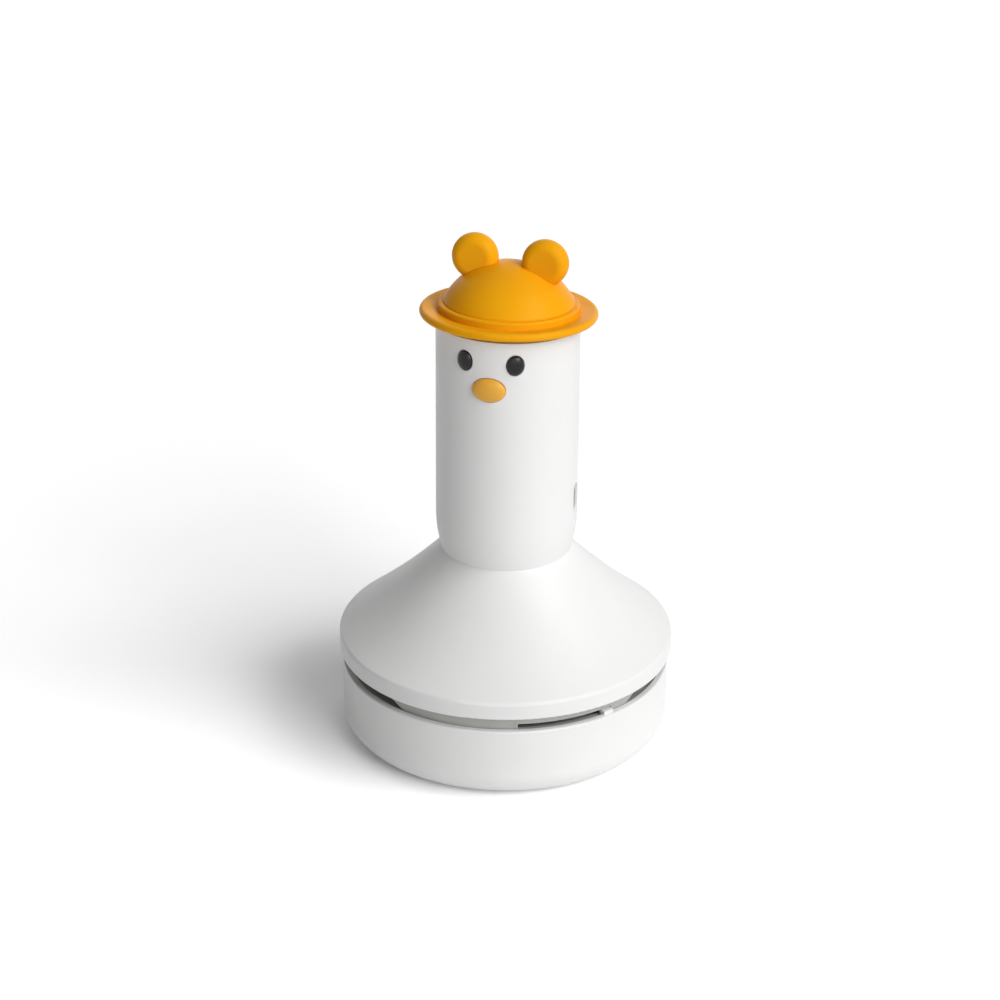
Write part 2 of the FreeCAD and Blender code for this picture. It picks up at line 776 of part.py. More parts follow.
def make_dust_tray():
    """Round tray with a raised middle, four foot recesses and two bayonet lugs."""
    hole = DUCT_RADIUS + S.seat_gap
    bowl = turned("dust_tray", [
        corner(hole, WELL_UNDER),
        corner(WELL_RADIUS, WELL_UNDER),
        corner(WELL_RADIUS, TRAY_BOTTOM),
        corner(S.tray_radius - S.tray_round, TRAY_BOTTOM),
        curve(S.tray_radius, TRAY_BOTTOM + S.tray_round, S.tray_round, LEFT),
        corner(S.tray_radius, TRAY_TOP - S.edge_round),
        curve(S.tray_radius - S.edge_round, TRAY_TOP, S.edge_round, LEFT),
        corner(TRAY_INNER, TRAY_TOP),
        corner(TRAY_INNER, TRAY_BOTTOM + S.tray_round),
        curve(S.tray_radius - S.tray_round, TRAY_BOTTOM + S.wall, S.tray_round - S.wall, RIGHT),
        corner(WELL_RADIUS + S.wall, TRAY_BOTTOM + S.wall),
        corner(WELL_RADIUS + S.wall, WELL_TOP),
        corner(hole, WELL_TOP),
    ])
    recesses = on_circle("foot_recess", FOOT_COUNT, FOOT_CIRCLE, S.foot_angle, lambda name, x, y: cylinder(
        name, S.foot_radius + S.seat_gap, S.foot_depth + S.overrun, x, y, TRAY_BOTTOM - S.overrun))
    lugs = []
    tip = TRAY_INNER - S.lug_reach
    for index in range(PAIR):
        start = S.lug_turn - S.lug_angle / 2 + FULL_TURN / PAIR * index
        lugs.append(arc_block(f"lug_{index + 1}", tip, TRAY_INNER + S.wall / 2, S.lug_height,
                              SLOT_LOW + S.fit_gap, S.lug_angle, start))
    drilled = cut("tray_drilled", bowl, fused("foot_recesses", recesses))
    return part("dust_tray", fused("tray_with_lugs", [drilled] + lugs))


def make_base_feet():
    """Soft pads under the tray."""
    pads = on_circle("foot", FOOT_COUNT, FOOT_CIRCLE, S.foot_angle, lambda name, x, y: cylinder(
        name, S.foot_radius, S.foot_height + S.foot_depth, x, y))
    return part("base_feet", group("foot_pads", pads))


def make_inlet_duct():
    """Suction tube through the tray's floor, with the flange that holds the bristles."""
    tube = turned("inlet_duct", [
        corner(S.duct_bore, DUCT_FOOT),
        corner(DUCT_FLANGE_RADIUS, DUCT_FOOT),
        corner(DUCT_FLANGE_RADIUS, WELL_UNDER),
        corner(DUCT_RADIUS, WELL_UNDER),
        corner(DUCT_RADIUS, WELL_TOP + S.seat_gap),
        corner(DUCT_RADIUS + S.bead, WELL_TOP + S.seat_gap),
        corner(DUCT_RADIUS, WELL_TOP + S.seat_gap + S.bead_height),
        corner(DUCT_RADIUS, DUCT_TOP),
        corner(S.duct_bore, DUCT_TOP),
    ])
    holes = on_circle("bristle_hole", BRISTLE_COUNT, BRISTLE_CIRCLE, 0, lambda name, x, y: cylinder(
        name, S.bristle_radius + S.running_gap, S.bristle_root + S.overrun, x, y, DUCT_FOOT - S.overrun))
    return part("inlet_duct", cut("duct_drilled", tube, fused("bristle_holes", holes)))


def make_duct_bristles():
    """Ring of bristle tufts that sweeps the table."""
    tufts = on_circle("tuft", BRISTLE_COUNT, BRISTLE_CIRCLE, 0, lambda name, x, y: cylinder(
        name, S.bristle_radius, DUCT_FOOT + S.bristle_root - S.bristle_lift, x, y, S.bristle_lift))
    return part("duct_bristles", group("bristle_tufts", tufts))


def make_duct_hood():
    """Hood on three legs that keeps the dust from falling back down the duct."""
    inner = DUCT_RADIUS + S.seat_gap
    outer = inner + S.hood_collar_wall
    radius = DUCT_RADIUS + S.hood_eave
    dome_curve = radius * radius / (2 * S.hood_dome) + S.hood_dome / 2
    cap = turned("hood_cap", [
        corner(0, HOOD_LOW),
        corner(radius, HOOD_LOW),
        corner(radius, HOOD_TOP - S.hood_dome),
        curve(0, HOOD_TOP, dome_curve, LEFT),
    ])
    collar = arc_block("hood_collar_ring", inner, outer, S.hood_collar, DUCT_TOP - S.hood_collar,
                       FULL_TURN, 0)
    pieces = [cap, collar]
    for index in range(LEG_COUNT):
        start = FULL_TURN / LEG_COUNT * index - S.hood_leg_angle / 2
        pieces.append(arc_block(f"hood_leg_{index + 1}", inner, outer, S.hood_lift + S.hood_collar,
                                DUCT_TOP - S.hood_collar, S.hood_leg_angle, start))
    return part("duct_hood", fused("hood_whole", pieces))


# Vent ring under the casing, with its seal, foam and filter

def window_end(name, yaw, side):
    """Slanting end of a window: a wedge that leans out towards the bottom."""
    piece = DOC.addObject("Part::Wedge", name)
    reach = S.window_slant * side
    bind(piece, "Xmin", reach if side == RIGHT else 0)
    bind(piece, "Xmax", reach if side == LEFT else 0)
    piece.X2min = 0
    piece.X2max = 0
    bind(piece, "Ymin", 0)
    bind(piece, "Ymax", WINDOW_HEIGHT)
    bind(piece, "Zmin", RING_INNER - S.overrun)
    bind(piece, "Zmax", RING_RADIUS + S.overrun)
    bind(piece, "Z2min", RING_INNER - S.overrun)
    bind(piece, "Z2max", RING_RADIUS + S.overrun)
    place(piece, 0, 0, WINDOW_LOW, 90 + yaw, 0, 90)
    return piece


def make_vent_ring():
    """Ring with the exhaust windows, the bayonet slots and the floor round the filter."""
    groove_low = SKIRT_BOTTOM + S.groove_lift
    groove_high = groove_low + SEAL_RADIUS * 2 + S.seat_gap * 2
    floor_hole = FILTER_RADIUS + S.fit_gap
    blank = turned("vent_ring", [
        corner(SKIRT_INNER, SKIRT_BOTTOM),
        corner(SKIRT_RADIUS, SKIRT_BOTTOM),
        corner(SKIRT_RADIUS, groove_low),
        corner(GROOVE_RADIUS, groove_low),
        corner(GROOVE_RADIUS, groove_high),
        corner(SKIRT_RADIUS, groove_high),
        corner(SKIRT_RADIUS, RING_FLOOR),
        corner(RING_RADIUS, RING_FLOOR),
        corner(RING_RADIUS, RING_TOP),
        corner(FLANGE_INNER, RING_TOP),
        corner(FLANGE_INNER, FLANGE_LOW),
        corner(RING_INNER, FLANGE_LOW),
        corner(RING_INNER, RING_FLOOR_TOP),
        corner(floor_hole, RING_FLOOR_TOP),
        corner(floor_hole, RING_FLOOR),
        corner(SKIRT_INNER, RING_FLOOR),
    ])
    outside = RING_RADIUS + S.overrun
    slot_angle = S.lug_angle + S.twist_angle + S.lug_play * 2
    notch_angle = S.lug_angle + S.lug_play * 2
    tools = []
    for index in range(PAIR):
        half_turn = FULL_TURN / PAIR * index
        first = S.window_turn - S.window_angle / 2 + half_turn
        tools.append(arc_block(f"window_{index + 1}", RING_INNER - S.overrun, outside, WINDOW_HEIGHT,
                               WINDOW_LOW, S.window_angle, first))
        tools.append(window_end(f"window_left_{index + 1}", first + S.window_angle, LEFT))
        tools.append(window_end(f"window_right_{index + 1}", first, RIGHT))
        slot_start = S.lug_turn + S.lug_angle / 2 + S.lug_play - slot_angle + half_turn
        tools.append(arc_block(f"slot_{index + 1}", RING_INNER - S.overrun, outside, SLOT_HEIGHT, SLOT_LOW,
                               slot_angle, slot_start))
        tools.append(arc_block(f"notch_{index + 1}", SKIRT_RADIUS, outside,
                               S.slot_band + S.overrun + S.fit_gap, RING_FLOOR - S.overrun,
                               notch_angle, slot_start))
        tools.append(arc_block(f"seam_{index + 1}", RING_RADIUS - S.seam_depth, outside,
                               S.ring_height + S.overrun * 2, RING_FLOOR - S.overrun,
                               S.seam_width / RING_RADIUS * (180 / math.pi), slot_start - S.seam_angle))
    tools += on_circle("ring_hole", RING_SCREW_COUNT, RING_SCREW_CIRCLE, S.ring_screw_angle,
                       lambda name, x, y: cylinder(name, S.screw_radius + S.seat_gap,
                                                   S.plate + S.overrun * 2, x, y, FLANGE_LOW - S.overrun))
    return part("vent_ring", cut("ring_cut", blank, fused("ring_tools", tools)))


def make_tray_seal():
    """Soft ring in the skirt's groove, against the tray's wall."""
    seal = DOC.addObject("Part::Torus", "seal_ring")
    bind(seal, "Radius1", GROOVE_RADIUS + S.running_gap + SEAL_RADIUS)
    bind(seal, "Radius2", SEAL_RADIUS)
    place(seal, z=SKIRT_BOTTOM + S.groove_lift + S.seat_gap + SEAL_RADIUS)
    return part("tray_seal", seal)


def make_exhaust_foam():
    """Foam ring behind the windows."""
    height = FLANGE_LOW - S.screw_head_height - S.foam_margin - RING_FLOOR_TOP
    foam = arc_block("foam_ring", FOAM_INNER, FOAM_OUTER, height, RING_FLOOR_TOP, FULL_TURN, 0)
    return part("exhaust_foam", foam)


def make_ring_screws():
    """Screws that hold the vent ring under the casing."""
    screws = on_circle("ring_screw", RING_SCREW_COUNT, RING_SCREW_CIRCLE, S.ring_screw_angle,
                       lambda name, x, y: screw(name, x, y, FLANGE_LOW))
    return part("ring_screws", group("ring_screw_set", screws))


def make_filter_frame():
    """Frame that holds the filter, with a flange under the ring's floor and three bars."""
    rim_top = FILTER_LOW + S.filter_rim
    inner = FILTER_RADIUS - S.filter_wall
    rim = turned("filter_frame", [
        corner(inner, FILTER_LOW),
        corner(FILTER_RADIUS + S.filter_flange, FILTER_LOW),
        corner(FILTER_RADIUS + S.filter_flange, rim_top),
        corner(FILTER_RADIUS, rim_top),
        corner(FILTER_RADIUS, FILTER_TOP),
        corner(inner, FILTER_TOP),
    ])
    pieces = [rim]
    for index in range(GRID_BAR_COUNT):
        pieces.append(bar(f"filter_bar_{index + 1}", inner * 2 + S.filter_wall, S.filter_bar, S.filter_rim,
                          FILTER_LOW, FULL_TURN / PAIR / GRID_BAR_COUNT * index))
    return part("filter_frame", fused("filter_frame_whole", pieces))


def make_filter_media():
    """Pleated filter disc on the frame's bars."""
    low = FILTER_LOW + S.filter_rim
    top = FILTER_TOP - S.media_drop
    radius = FILTER_RADIUS - S.filter_wall - S.seat_gap
    disc = cylinder("media_disc", radius, top - low, z=low)
    pleats = []
    for index in range(PLEAT_COUNT):
        offset = S.pleat_pitch * (index - (PLEAT_COUNT - 1) / 2)
        pleats.append(block(f"pleat_{index + 1}", radius * 3, S.pleat_width, S.pleat_depth + S.overrun,
                            y=offset, z=top - S.pleat_depth))
    return part("filter_media", cut("media_pleated", disc, fused("pleats", pleats)))


# Casing: the cone that covers the fan

def cone_outline(drop_low, inset, top):
    """Outline under the cone's outer face, set in by the inset, from drop_low up to top."""
    shift = inset / cosine(CONE_LEAN)
    low_r = BASE_RADIUS - inset
    low_z = TOUCH_Z + (TOUCH_R - shift - low_r) / CONE_SLOPE
    high_r = NECK_RADIUS + (NECK - top) * CONE_SLOPE - shift
    chord = root((low_r - high_r) * (low_r - high_r) + (top - low_z) * (top - low_z))
    sag_curve = chord * chord / (S.cone_sag * 8) + S.cone_sag / 2
    return [
        corner(0, drop_low),
        corner(low_r, drop_low),
        corner(low_r, low_z),
        curve(high_r, top, sag_curve, RIGHT),
        corner(0, top),
    ]


def cone_outer_outline():
    """Outline of the cone's outer face, with its rounded lip and shoulder."""
    chord = root((TOUCH_R - NECK_RADIUS) * (TOUCH_R - NECK_RADIUS) + (NECK - TOUCH_Z) * (NECK - TOUCH_Z))
    sag_curve = chord * chord / (S.cone_sag * 8) + S.cone_sag / 2
    return [
        corner(0, LIP),
        corner(BASE_RADIUS - S.edge_round, LIP),
        curve(BASE_RADIUS, LIP + S.edge_round, S.edge_round, LEFT),
        corner(BASE_RADIUS, SHOULDER),
        curve(TOUCH_R, TOUCH_Z, S.shoulder_round, LEFT),
        curve(NECK_RADIUS, NECK, sag_curve, RIGHT),
        corner(0, NECK),
    ]


def make_cone_shell():
    """Conical casing with a flat neck plate and bosses for the ring and the motor mount."""
    outer = turned("cone_outer", cone_outer_outline())
    plate_under = NECK - S.neck_plate
    hollow = turned("cone_hollow", cone_outline(LIP - S.overrun, S.wall, plate_under))
    core = turned("cone_core", cone_outline(LIP - S.overrun, S.wall / 2, NECK - S.neck_plate / 2))
    shell = cut("cone_walls", outer, hollow)
    bosses = on_circle("ring_boss", RING_SCREW_COUNT, RING_SCREW_CIRCLE, S.ring_screw_angle,
                       lambda name, x, y: cylinder(name, S.boss_radius, S.boss_reach, x, y, RING_TOP))
    bosses += on_circle("mount_boss", TRIO, MOUNT_SCREW_CIRCLE, 0, lambda name, x, y: cylinder(
        name, S.boss_radius, S.boss_reach, x, y, MOUNT_TOP))
    trimmed = shared("bosses_trimmed", fused("bosses", bosses), core)
    ring_pilot = S.screw_length - S.plate + S.seat_gap + S.overrun
    tools = on_circle("ring_pilot", RING_SCREW_COUNT, RING_SCREW_CIRCLE, S.ring_screw_angle,
                      lambda name, x, y: cylinder(name, S.screw_radius + S.seat_gap, ring_pilot, x, y,
                                                  RING_TOP - S.overrun))
    tools += on_circle("mount_pilot", TRIO, MOUNT_SCREW_CIRCLE, 0, lambda name, x, y: cylinder(
        name, S.screw_radius + S.seat_gap, S.screw_length - S.mount_plate + S.seat_gap + S.overrun, x, y,
        MOUNT_TOP - S.overrun))
    tools += on_circle("neck_clear", TRIO, NECK_SCREW_CIRCLE, S.neck_screw_angle,
                       lambda name, x, y: cylinder(name, S.small_screw_radius + S.seat_gap,
                                                   S.neck_plate + S.overrun * 2, x, y,
                                                   plate_under - S.overrun))
    tools.append(cylinder("neck_hole", NECK_HOLE, S.neck_plate + S.overrun * 2,
                          z=plate_under - S.overrun))
    return part("cone_shell", cut("cone_drilled", fused("cone_bossed", [shell, trimmed]),
                                  fused("cone_tools", tools)))


# Fan: cup, motor mount, motor and impeller

def make_fan_cup():
    """Upside-down cup that joins the filter to the impeller's eye."""
    cup = turned("fan_cup", [
        corner(CUP_RADIUS - S.plate, RING_FLOOR_TOP),
        corner(CUP_RADIUS, RING_FLOOR_TOP),
        corner(CUP_RADIUS, RING_TOP),
        corner(S.eye_radius, RING_TOP),
        corner(S.eye_radius, FLANGE_LOW),
        corner(CUP_RADIUS - S.plate, FLANGE_LOW),
    ])
    holes = on_circle("cup_hole", TRIO, COLUMN_CIRCLE, S.column_angle, lambda name, x, y: cylinder(
        name, S.screw_radius + S.seat_gap, S.plate + S.overrun * 2, x, y, FLANGE_LOW - S.overrun))
    return part("fan_cup", cut("cup_drilled", cup, fused("cup_holes", holes)))


def make_cup_screws():
    """Screws up through the cup into the mount's columns."""
    screws = on_circle("cup_screw", TRIO, COLUMN_CIRCLE, S.column_angle, lambda name, x, y: screw(
        name, x, y, FLANGE_LOW))
    return part("cup_screws", group("cup_screw_set", screws))


def make_motor_mount():
    """Plate that carries the motor, on three columns above the cup."""
    plate = turned("motor_mount", [
        corner(S.nose_radius + S.seat_gap, MOUNT_LOW),
        corner(MOUNT_RADIUS, MOUNT_LOW),
        corner(MOUNT_RADIUS, MOUNT_TOP),
        corner(S.nose_radius + S.seat_gap, MOUNT_TOP),
    ])
    columns = on_circle("column", TRIO, COLUMN_CIRCLE, S.column_angle, lambda name, x, y: cylinder(
        name, S.column_radius, S.chamber_height + S.mount_plate / 2, x, y, RING_TOP))
    tools = on_circle("column_pilot", TRIO, COLUMN_CIRCLE, S.column_angle, lambda name, x, y: cylinder(
        name, S.screw_radius + S.seat_gap, S.screw_length - S.plate + S.seat_gap + S.overrun, x, y,
        RING_TOP - S.overrun))
    tools += on_circle("mount_hole", TRIO, MOUNT_SCREW_CIRCLE, 0, lambda name, x, y: cylinder(
        name, S.screw_radius + S.seat_gap, S.mount_plate + S.overrun * 2, x, y, MOUNT_LOW - S.overrun))
    tools += on_circle("motor_hole", PAIR, MOTOR_SCREW_CIRCLE, 90, lambda name, x, y: cylinder(
        name, S.small_screw_radius + S.seat_gap, S.mount_plate + S.overrun * 2, x, y,
        MOUNT_LOW - S.overrun))
    return part("motor_mount", cut("mount_drilled", fused("mount_whole", [plate] + columns),
                                   fused("mount_tools", tools)))


def make_mount_screws():
    """Screws up through the mount into the casing."""
    screws = on_circle("mount_screw", TRIO, MOUNT_SCREW_CIRCLE, 0, lambda name, x, y: screw(
        name, x, y, MOUNT_LOW))
    return part("mount_screws", group("mount_screw_set", screws))


def make_motor_screws():
    """Two small screws up into the motor's face."""
    screws = on_circle("motor_screw", PAIR, MOTOR_SCREW_CIRCLE, 90, lambda name, x, y: screw(
        name, x, y, MOUNT_LOW, small=True))
    return part("motor_screws", group("motor_screw_set", screws))


def make_motor_can():
    """Drawn steel can with the front bearing in its nose."""
    bore = S.shaft_radius + S.running_gap
    floor = MOUNT_TOP + S.can_wall * 2
    can = turned("motor_can", [
        corner(bore, MOUNT_TOP - S.nose_length),
        corner(S.nose_radius, MOUNT_TOP - S.nose_length),
        corner(S.nose_radius, MOUNT_TOP),
        corner(CAN_RADIUS, MOUNT_TOP),
        corner(CAN_RADIUS, CAN_TOP),
        corner(CAN_RADIUS - S.can_wall, CAN_TOP),
        corner(CAN_RADIUS - S.can_wall, floor),
        corner(bore, floor),
    ])
    holes = on_circle("can_hole", PAIR, MOTOR_SCREW_CIRCLE, 90, lambda name, x, y: cylinder(
        name, S.small_screw_radius + S.seat_gap, S.can_wall * 2 + S.overrun * 2, x, y,
        MOUNT_TOP - S.overrun))
    return part("motor_can", cut("can_drilled", can, fused("can_holes", holes)))


def make_motor_magnets():
    """Two curved magnets inside the can."""
    magnets = []
    for index in range(PAIR):
        magnets.append(arc_block(f"magnet_{index + 1}", MAGNET_INNER, MAGNET_OUTER, MAGNET_LENGTH,
                                 MAGNET_LOW, S.magnet_angle,
                                 FULL_TURN / PAIR * index - S.magnet_angle / 2))
    return part("motor_magnets", group("magnet_pair", magnets))


def make_motor_end_cap():
    """Plastic cap with the rear bearing, seated in the can."""
    bore = S.shaft_radius + S.running_gap
    plug = CAN_RADIUS - S.can_wall - S.seat_gap
    cap = turned("motor_end_cap", [
        corner(bore, CAN_TOP - S.end_cap_depth),
        corner(plug, CAN_TOP - S.end_cap_depth),
        corner(plug, CAN_TOP),
        corner(CAN_RADIUS, CAN_TOP),
        corner(CAN_RADIUS, END_CAP_TOP),
        corner(bore, END_CAP_TOP),
    ])
    return part("motor_end_cap", cap)


def make_motor_terminals():
    """Two solder tabs on the motor's cap."""
    tabs = []
    for side in (LEFT, RIGHT):
        tabs.append(block(f"terminal_{side + 2}", S.terminal_width, S.terminal_thickness,
                          S.terminal_height, S.terminal_apart / 2 * side, TERMINAL_PLACE, END_CAP_TOP))
    return part("motor_terminals", group("terminal_pair", tabs))


def make_motor_shaft():
    """Shaft from the impeller up to the rear bearing."""
    low = RING_TOP + S.shaft_end
    return part("motor_shaft", cylinder("shaft", S.shaft_radius, END_CAP_TOP - S.seat_gap - low, z=low))


def make_motor_armature():
    """Wound core with its commutator, fixed on the shaft."""
    radius = MAGNET_INNER - S.armature_gap
    low = MAGNET_LOW + S.armature_inset
    top = MAGNET_LOW + MAGNET_LENGTH - S.armature_inset
    core = turned("motor_armature", [
        corner(S.shaft_radius, low),
        corner(radius, low),
        corner(radius, top),
        corner(S.commutator_radius, top),
        corner(S.commutator_radius, top + S.commutator_length),
        corner(S.shaft_radius, top + S.commutator_length),
    ])
    return part("motor_armature", core)


def make_impeller():
    """Fan wheel: a hub, a disc above and nine curved blades below."""
    wheel = turned("impeller", [
        corner(S.shaft_radius, IMPELLER_LOW),
        corner(S.hub_radius, IMPELLER_LOW),
        corner(S.hub_radius, IMPELLER_TOP - S.impeller_disc),
        corner(IMPELLER_RADIUS, IMPELLER_TOP - S.impeller_disc),
        corner(IMPELLER_RADIUS, IMPELLER_TOP),
        corner(S.shaft_radius, IMPELLER_TOP),
    ])
    pieces = [wheel]
    tip = IMPELLER_RADIUS - S.edge_round
    for index in range(BLADE_COUNT):
        turn = FULL_TURN / BLADE_COUNT * index
        inner_x, inner_y = around(S.blade_inner_radius, turn + S.blade_sweep)
        outer_x, outer_y = around(tip, turn)
        next_x, next_y = around(tip, turn + S.blade_thickness / tip * (180 / math.pi))
        start_x, start_y = around(S.blade_inner_radius,
                                  turn + S.blade_sweep + S.blade_thickness / tip * (180 / math.pi))
        pieces.append(raised(f"blade_{index + 1}", [
            corner(inner_x, inner_y),
            curve(outer_x, outer_y, S.blade_curve, LEFT),
            corner(next_x, next_y),
            curve(start_x, start_y, S.blade_curve, RIGHT),
        ], IMPELLER_TOP - IMPELLER_LOW - S.impeller_disc / 2, IMPELLER_LOW))
    return part("impeller", fused("impeller_whole", pieces))


# Handle, with its face

FACE = [
    ("eye_left", S.eye_half_width, S.eye_half_height, S.eye_depth, EYE_HEIGHT, -S.eye_turn),
    ("eye_right", S.eye_half_width, S.eye_half_height, S.eye_depth, EYE_HEIGHT, S.eye_turn),
    ("beak", S.beak_half_width, S.beak_half_height, S.beak_depth, BEAK_HEIGHT, size_of(0)),
]


def stadium(name, width, thickness, depth, x, z):
    """Bar along X with round upper and lower ends, centred on z."""
    straight = width - thickness
    pieces = [
        block(name + "_middle", depth, thickness, straight, x + depth / 2, 0, z - straight / 2),
        cylinder(name + "_lower", thickness / 2, depth, x, 0, z - straight / 2, yaw=90, roll=90),
        cylinder(name + "_upper", thickness / 2, depth, x, 0, z + straight / 2, yaw=90, roll=90),
    ]
    return fused(name, pieces)


def face_peg(name, radius, length, height, turn):
    """Cylinder that points outwards from the handle's axis, its inner end at the wall's inner face."""
    x, y = around(HANDLE_INNER + S.seat_gap, turn - 90)
    return cylinder(name, radius, length, x, y, height, yaw=turn, roll=90)


def face_oval(name, half_width, half_height, depth, height, turn):
    """Oval dome centred on the handle's face."""
    x, y = around(S.handle_radius, turn - 90)
    oval = DOC.addObject("Part::Ellipsoid", name)
    bind(oval, "Radius1", half_height)
    bind(oval, "Radius2", depth)
    bind(oval, "Radius3", half_width)
    place(oval, x, y, height, turn - 90)
    return oval


def make_handle_tube():
    """Tube with a drawn-in heel, a slanting top, a ledge for the cap and rails for the board."""
    flange_top = NECK + S.handle_flange
    inner_curve = S.heel_curve - S.wall
    inner_drop = S.heel_height - S.handle_flange
    heel_inner = HEEL_CENTRE + root(inner_curve * inner_curve - inner_drop * inner_drop)
    blank_top = HANDLE_TOP + S.wall * 3
    tube = turned("handle_tube", [
        corner(NECK_HOLE, NECK),
        corner(HEEL_RADIUS, NECK),
        curve(S.handle_radius, HEEL_TOP, S.heel_curve, LEFT),
        corner(S.handle_radius, blank_top),
        corner(HANDLE_INNER, blank_top),
        corner(HANDLE_INNER, CAP_LOW),
        corner(LEDGE_INNER, CAP_LOW),
        corner(LEDGE_INNER, LEDGE_LOW),
        corner(HANDLE_INNER, LEDGE_LOW),
        corner(HANDLE_INNER, HEEL_TOP),
        curve(heel_inner, flange_top, inner_curve, RIGHT),
        corner(NECK_HOLE, flange_top),
    ])
    rail_width = HANDLE_INNER - RAIL_REACH + S.wall / 2
    rail_height = BOARD_TOP + S.rail_margin - HEEL_TOP
    rails = []
    for side in (LEFT, RIGHT):
        rails.append(block(f"rail_{side + 2}", rail_width, S.rail_depth, rail_height,
                           (RAIL_REACH + rail_width / 2) * side,
                           BOARD_BACK + S.seat_gap + S.rail_depth / 2, HEEL_TOP))
    trim = cylinder("rail_trim", HANDLE_INNER + S.wall / 2, rail_height * 2, z=NECK)
    trimmed = shared("rails_trimmed", fused("rails", rails), trim)
    tools = [
        cylinder("slanting_top", S.handle_radius * 2, S.handle_radius, z=HANDLE_TOP, roll=-S.hat_tilt),
        stadium("usb_opening", S.usb_width + S.fit_gap, S.usb_thickness + S.fit_gap,
                S.wall + S.overrun * 2, HANDLE_INNER - S.overrun, USB_HEIGHT),
    ]
    peg_hole = S.peg_radius + S.seat_gap
    through = S.wall + S.overrun
    for name, half_width, half_height, depth, height, turn in FACE:
        tools.append(face_peg(name + "_hole", peg_hole, through, height, turn))
        pocket = face_oval(name + "_pocket", half_width + S.pocket_gap, half_height + S.pocket_gap,
                           depth + S.pocket_gap, height, turn)
        tools.append(cut(name + "_pocket_cut", pocket, cylinder(
            name + "_pocket_floor", S.handle_radius - S.pocket_depth, half_height * 4,
            z=height - half_height * 2)))
    tools += on_circle("neck_pilot", TRIO, NECK_SCREW_CIRCLE, S.neck_screw_angle,
                       lambda name, x, y: cylinder(name, S.small_screw_radius + S.seat_gap,
                                                   S.handle_flange + S.overrun, x, y,
                                                   NECK - S.overrun / 2))
    tools += on_circle("ledge_hole", TRIO, CAP_SCREW_CIRCLE, 90, lambda name, x, y: cylinder(
        name, S.screw_radius + S.seat_gap, S.ledge + S.overrun * 2, x, y, LEDGE_LOW - S.overrun))
    for side in (LEFT, RIGHT):
        tools.append(cylinder(f"rail_pilot_{side + 2}", S.small_screw_radius + S.seat_gap,
                              S.small_screw_length, BOARD_SCREW_PLACE * side,
                              BOARD_FRONT + S.board_thickness / 2, BOARD_SCREW_HEIGHT, roll=-90))
    return part("handle_tube", cut("handle_cut", fused("handle_railed", [tube, trimmed]),
                                   fused("handle_tools", tools)))


def make_face_piece(name, half_width, half_height, depth, height, turn):
    """Domed oval set in its pocket in the handle's face, with its peg."""
    dome = face_oval(name + "_oval", half_width, half_height, depth, height, turn)
    seat = S.handle_radius - S.pocket_depth + S.running_gap
    front = cut(name + "_front", dome, cylinder(name + "_back", seat, half_height * 4,
                                                z=height - half_height * 2))
    peg = face_peg(name + "_peg", S.peg_radius, S.peg_length + S.wall / 2, height, turn)
    return part(name, fused(name + "_whole", [front, peg]))


def make_neck_screws():
    """Small screws up through the neck plate into the handle."""
    screws = on_circle("neck_screw", TRIO, NECK_SCREW_CIRCLE, S.neck_screw_angle, lambda name, x, y: screw(
        name, x, y, NECK - S.neck_plate, small=True))
    return part("neck_screws", group("neck_screw_set", screws))


# Power: socket, board, cell and leads

def make_usb_socket():
    """Charging socket, upright in the handle's side."""
    back = S.handle_radius - S.usb_recess - S.usb_depth
    outside = stadium("usb_outside", S.usb_width, S.usb_thickness, S.usb_depth, back, USB_HEIGHT)
    inside = stadium("usb_inside", S.usb_width - S.usb_shell * 2, S.usb_thickness - S.usb_shell * 2,
                     S.usb_depth, back + S.usb_shell * 3, USB_HEIGHT)
    tongue = block("usb_tongue_bar", S.usb_depth - S.usb_shell * 4, S.usb_tongue_thickness, S.usb_tongue,
                   back + S.usb_depth / 2, 0, USB_HEIGHT - S.usb_tongue / 2)
    return part("usb_socket", fused("usb_whole", [cut("usb_shell_cut", outside, inside), tongue]))


def make_circuit_board():
    """Board across the handle, held on the two rails."""
    board = block("board_blank", BOARD_HALF_WIDTH * 2, S.board_thickness, BOARD_TOP - BOARD_FOOT, 0,
                  BOARD_FRONT + S.board_thickness / 2, BOARD_FOOT)
    holes = []
    for side in (LEFT, RIGHT):
        holes.append(cylinder(f"board_hole_{side + 2}", S.small_screw_radius + S.seat_gap,
                              S.board_thickness + S.overrun * 2, BOARD_SCREW_PLACE * side,
                              BOARD_FRONT - S.overrun, BOARD_SCREW_HEIGHT, roll=-90))
    holes += cradle_pegs("board_peg_hole", S.cradle_peg_radius + S.seat_gap,
                         S.board_thickness + S.overrun * 2, BOARD_FRONT - S.overrun)
    return part("circuit_board", cut("board_drilled", board, fused("board_holes", holes)))


def make_board_screws():
    """Two small screws through the board into the rails."""
    screws = []
    for side in (LEFT, RIGHT):
        x = BOARD_SCREW_PLACE * side
        front = BOARD_FRONT - S.small_head_height
        head = cylinder(f"board_screw_head_{side + 2}", S.small_head_radius, S.small_head_height, x, front,
                        BOARD_SCREW_HEIGHT, roll=-90)
        shank = cylinder(f"board_screw_shank_{side + 2}", S.small_screw_radius,
                         S.small_screw_length + S.small_head_height / 2, x,
                         front + S.small_head_height / 2, BOARD_SCREW_HEIGHT, roll=-90)
        screws.append(fused(f"board_screw_{side + 2}", [head, shank]))
    return part("board_screws", group("board_screw_set", screws))


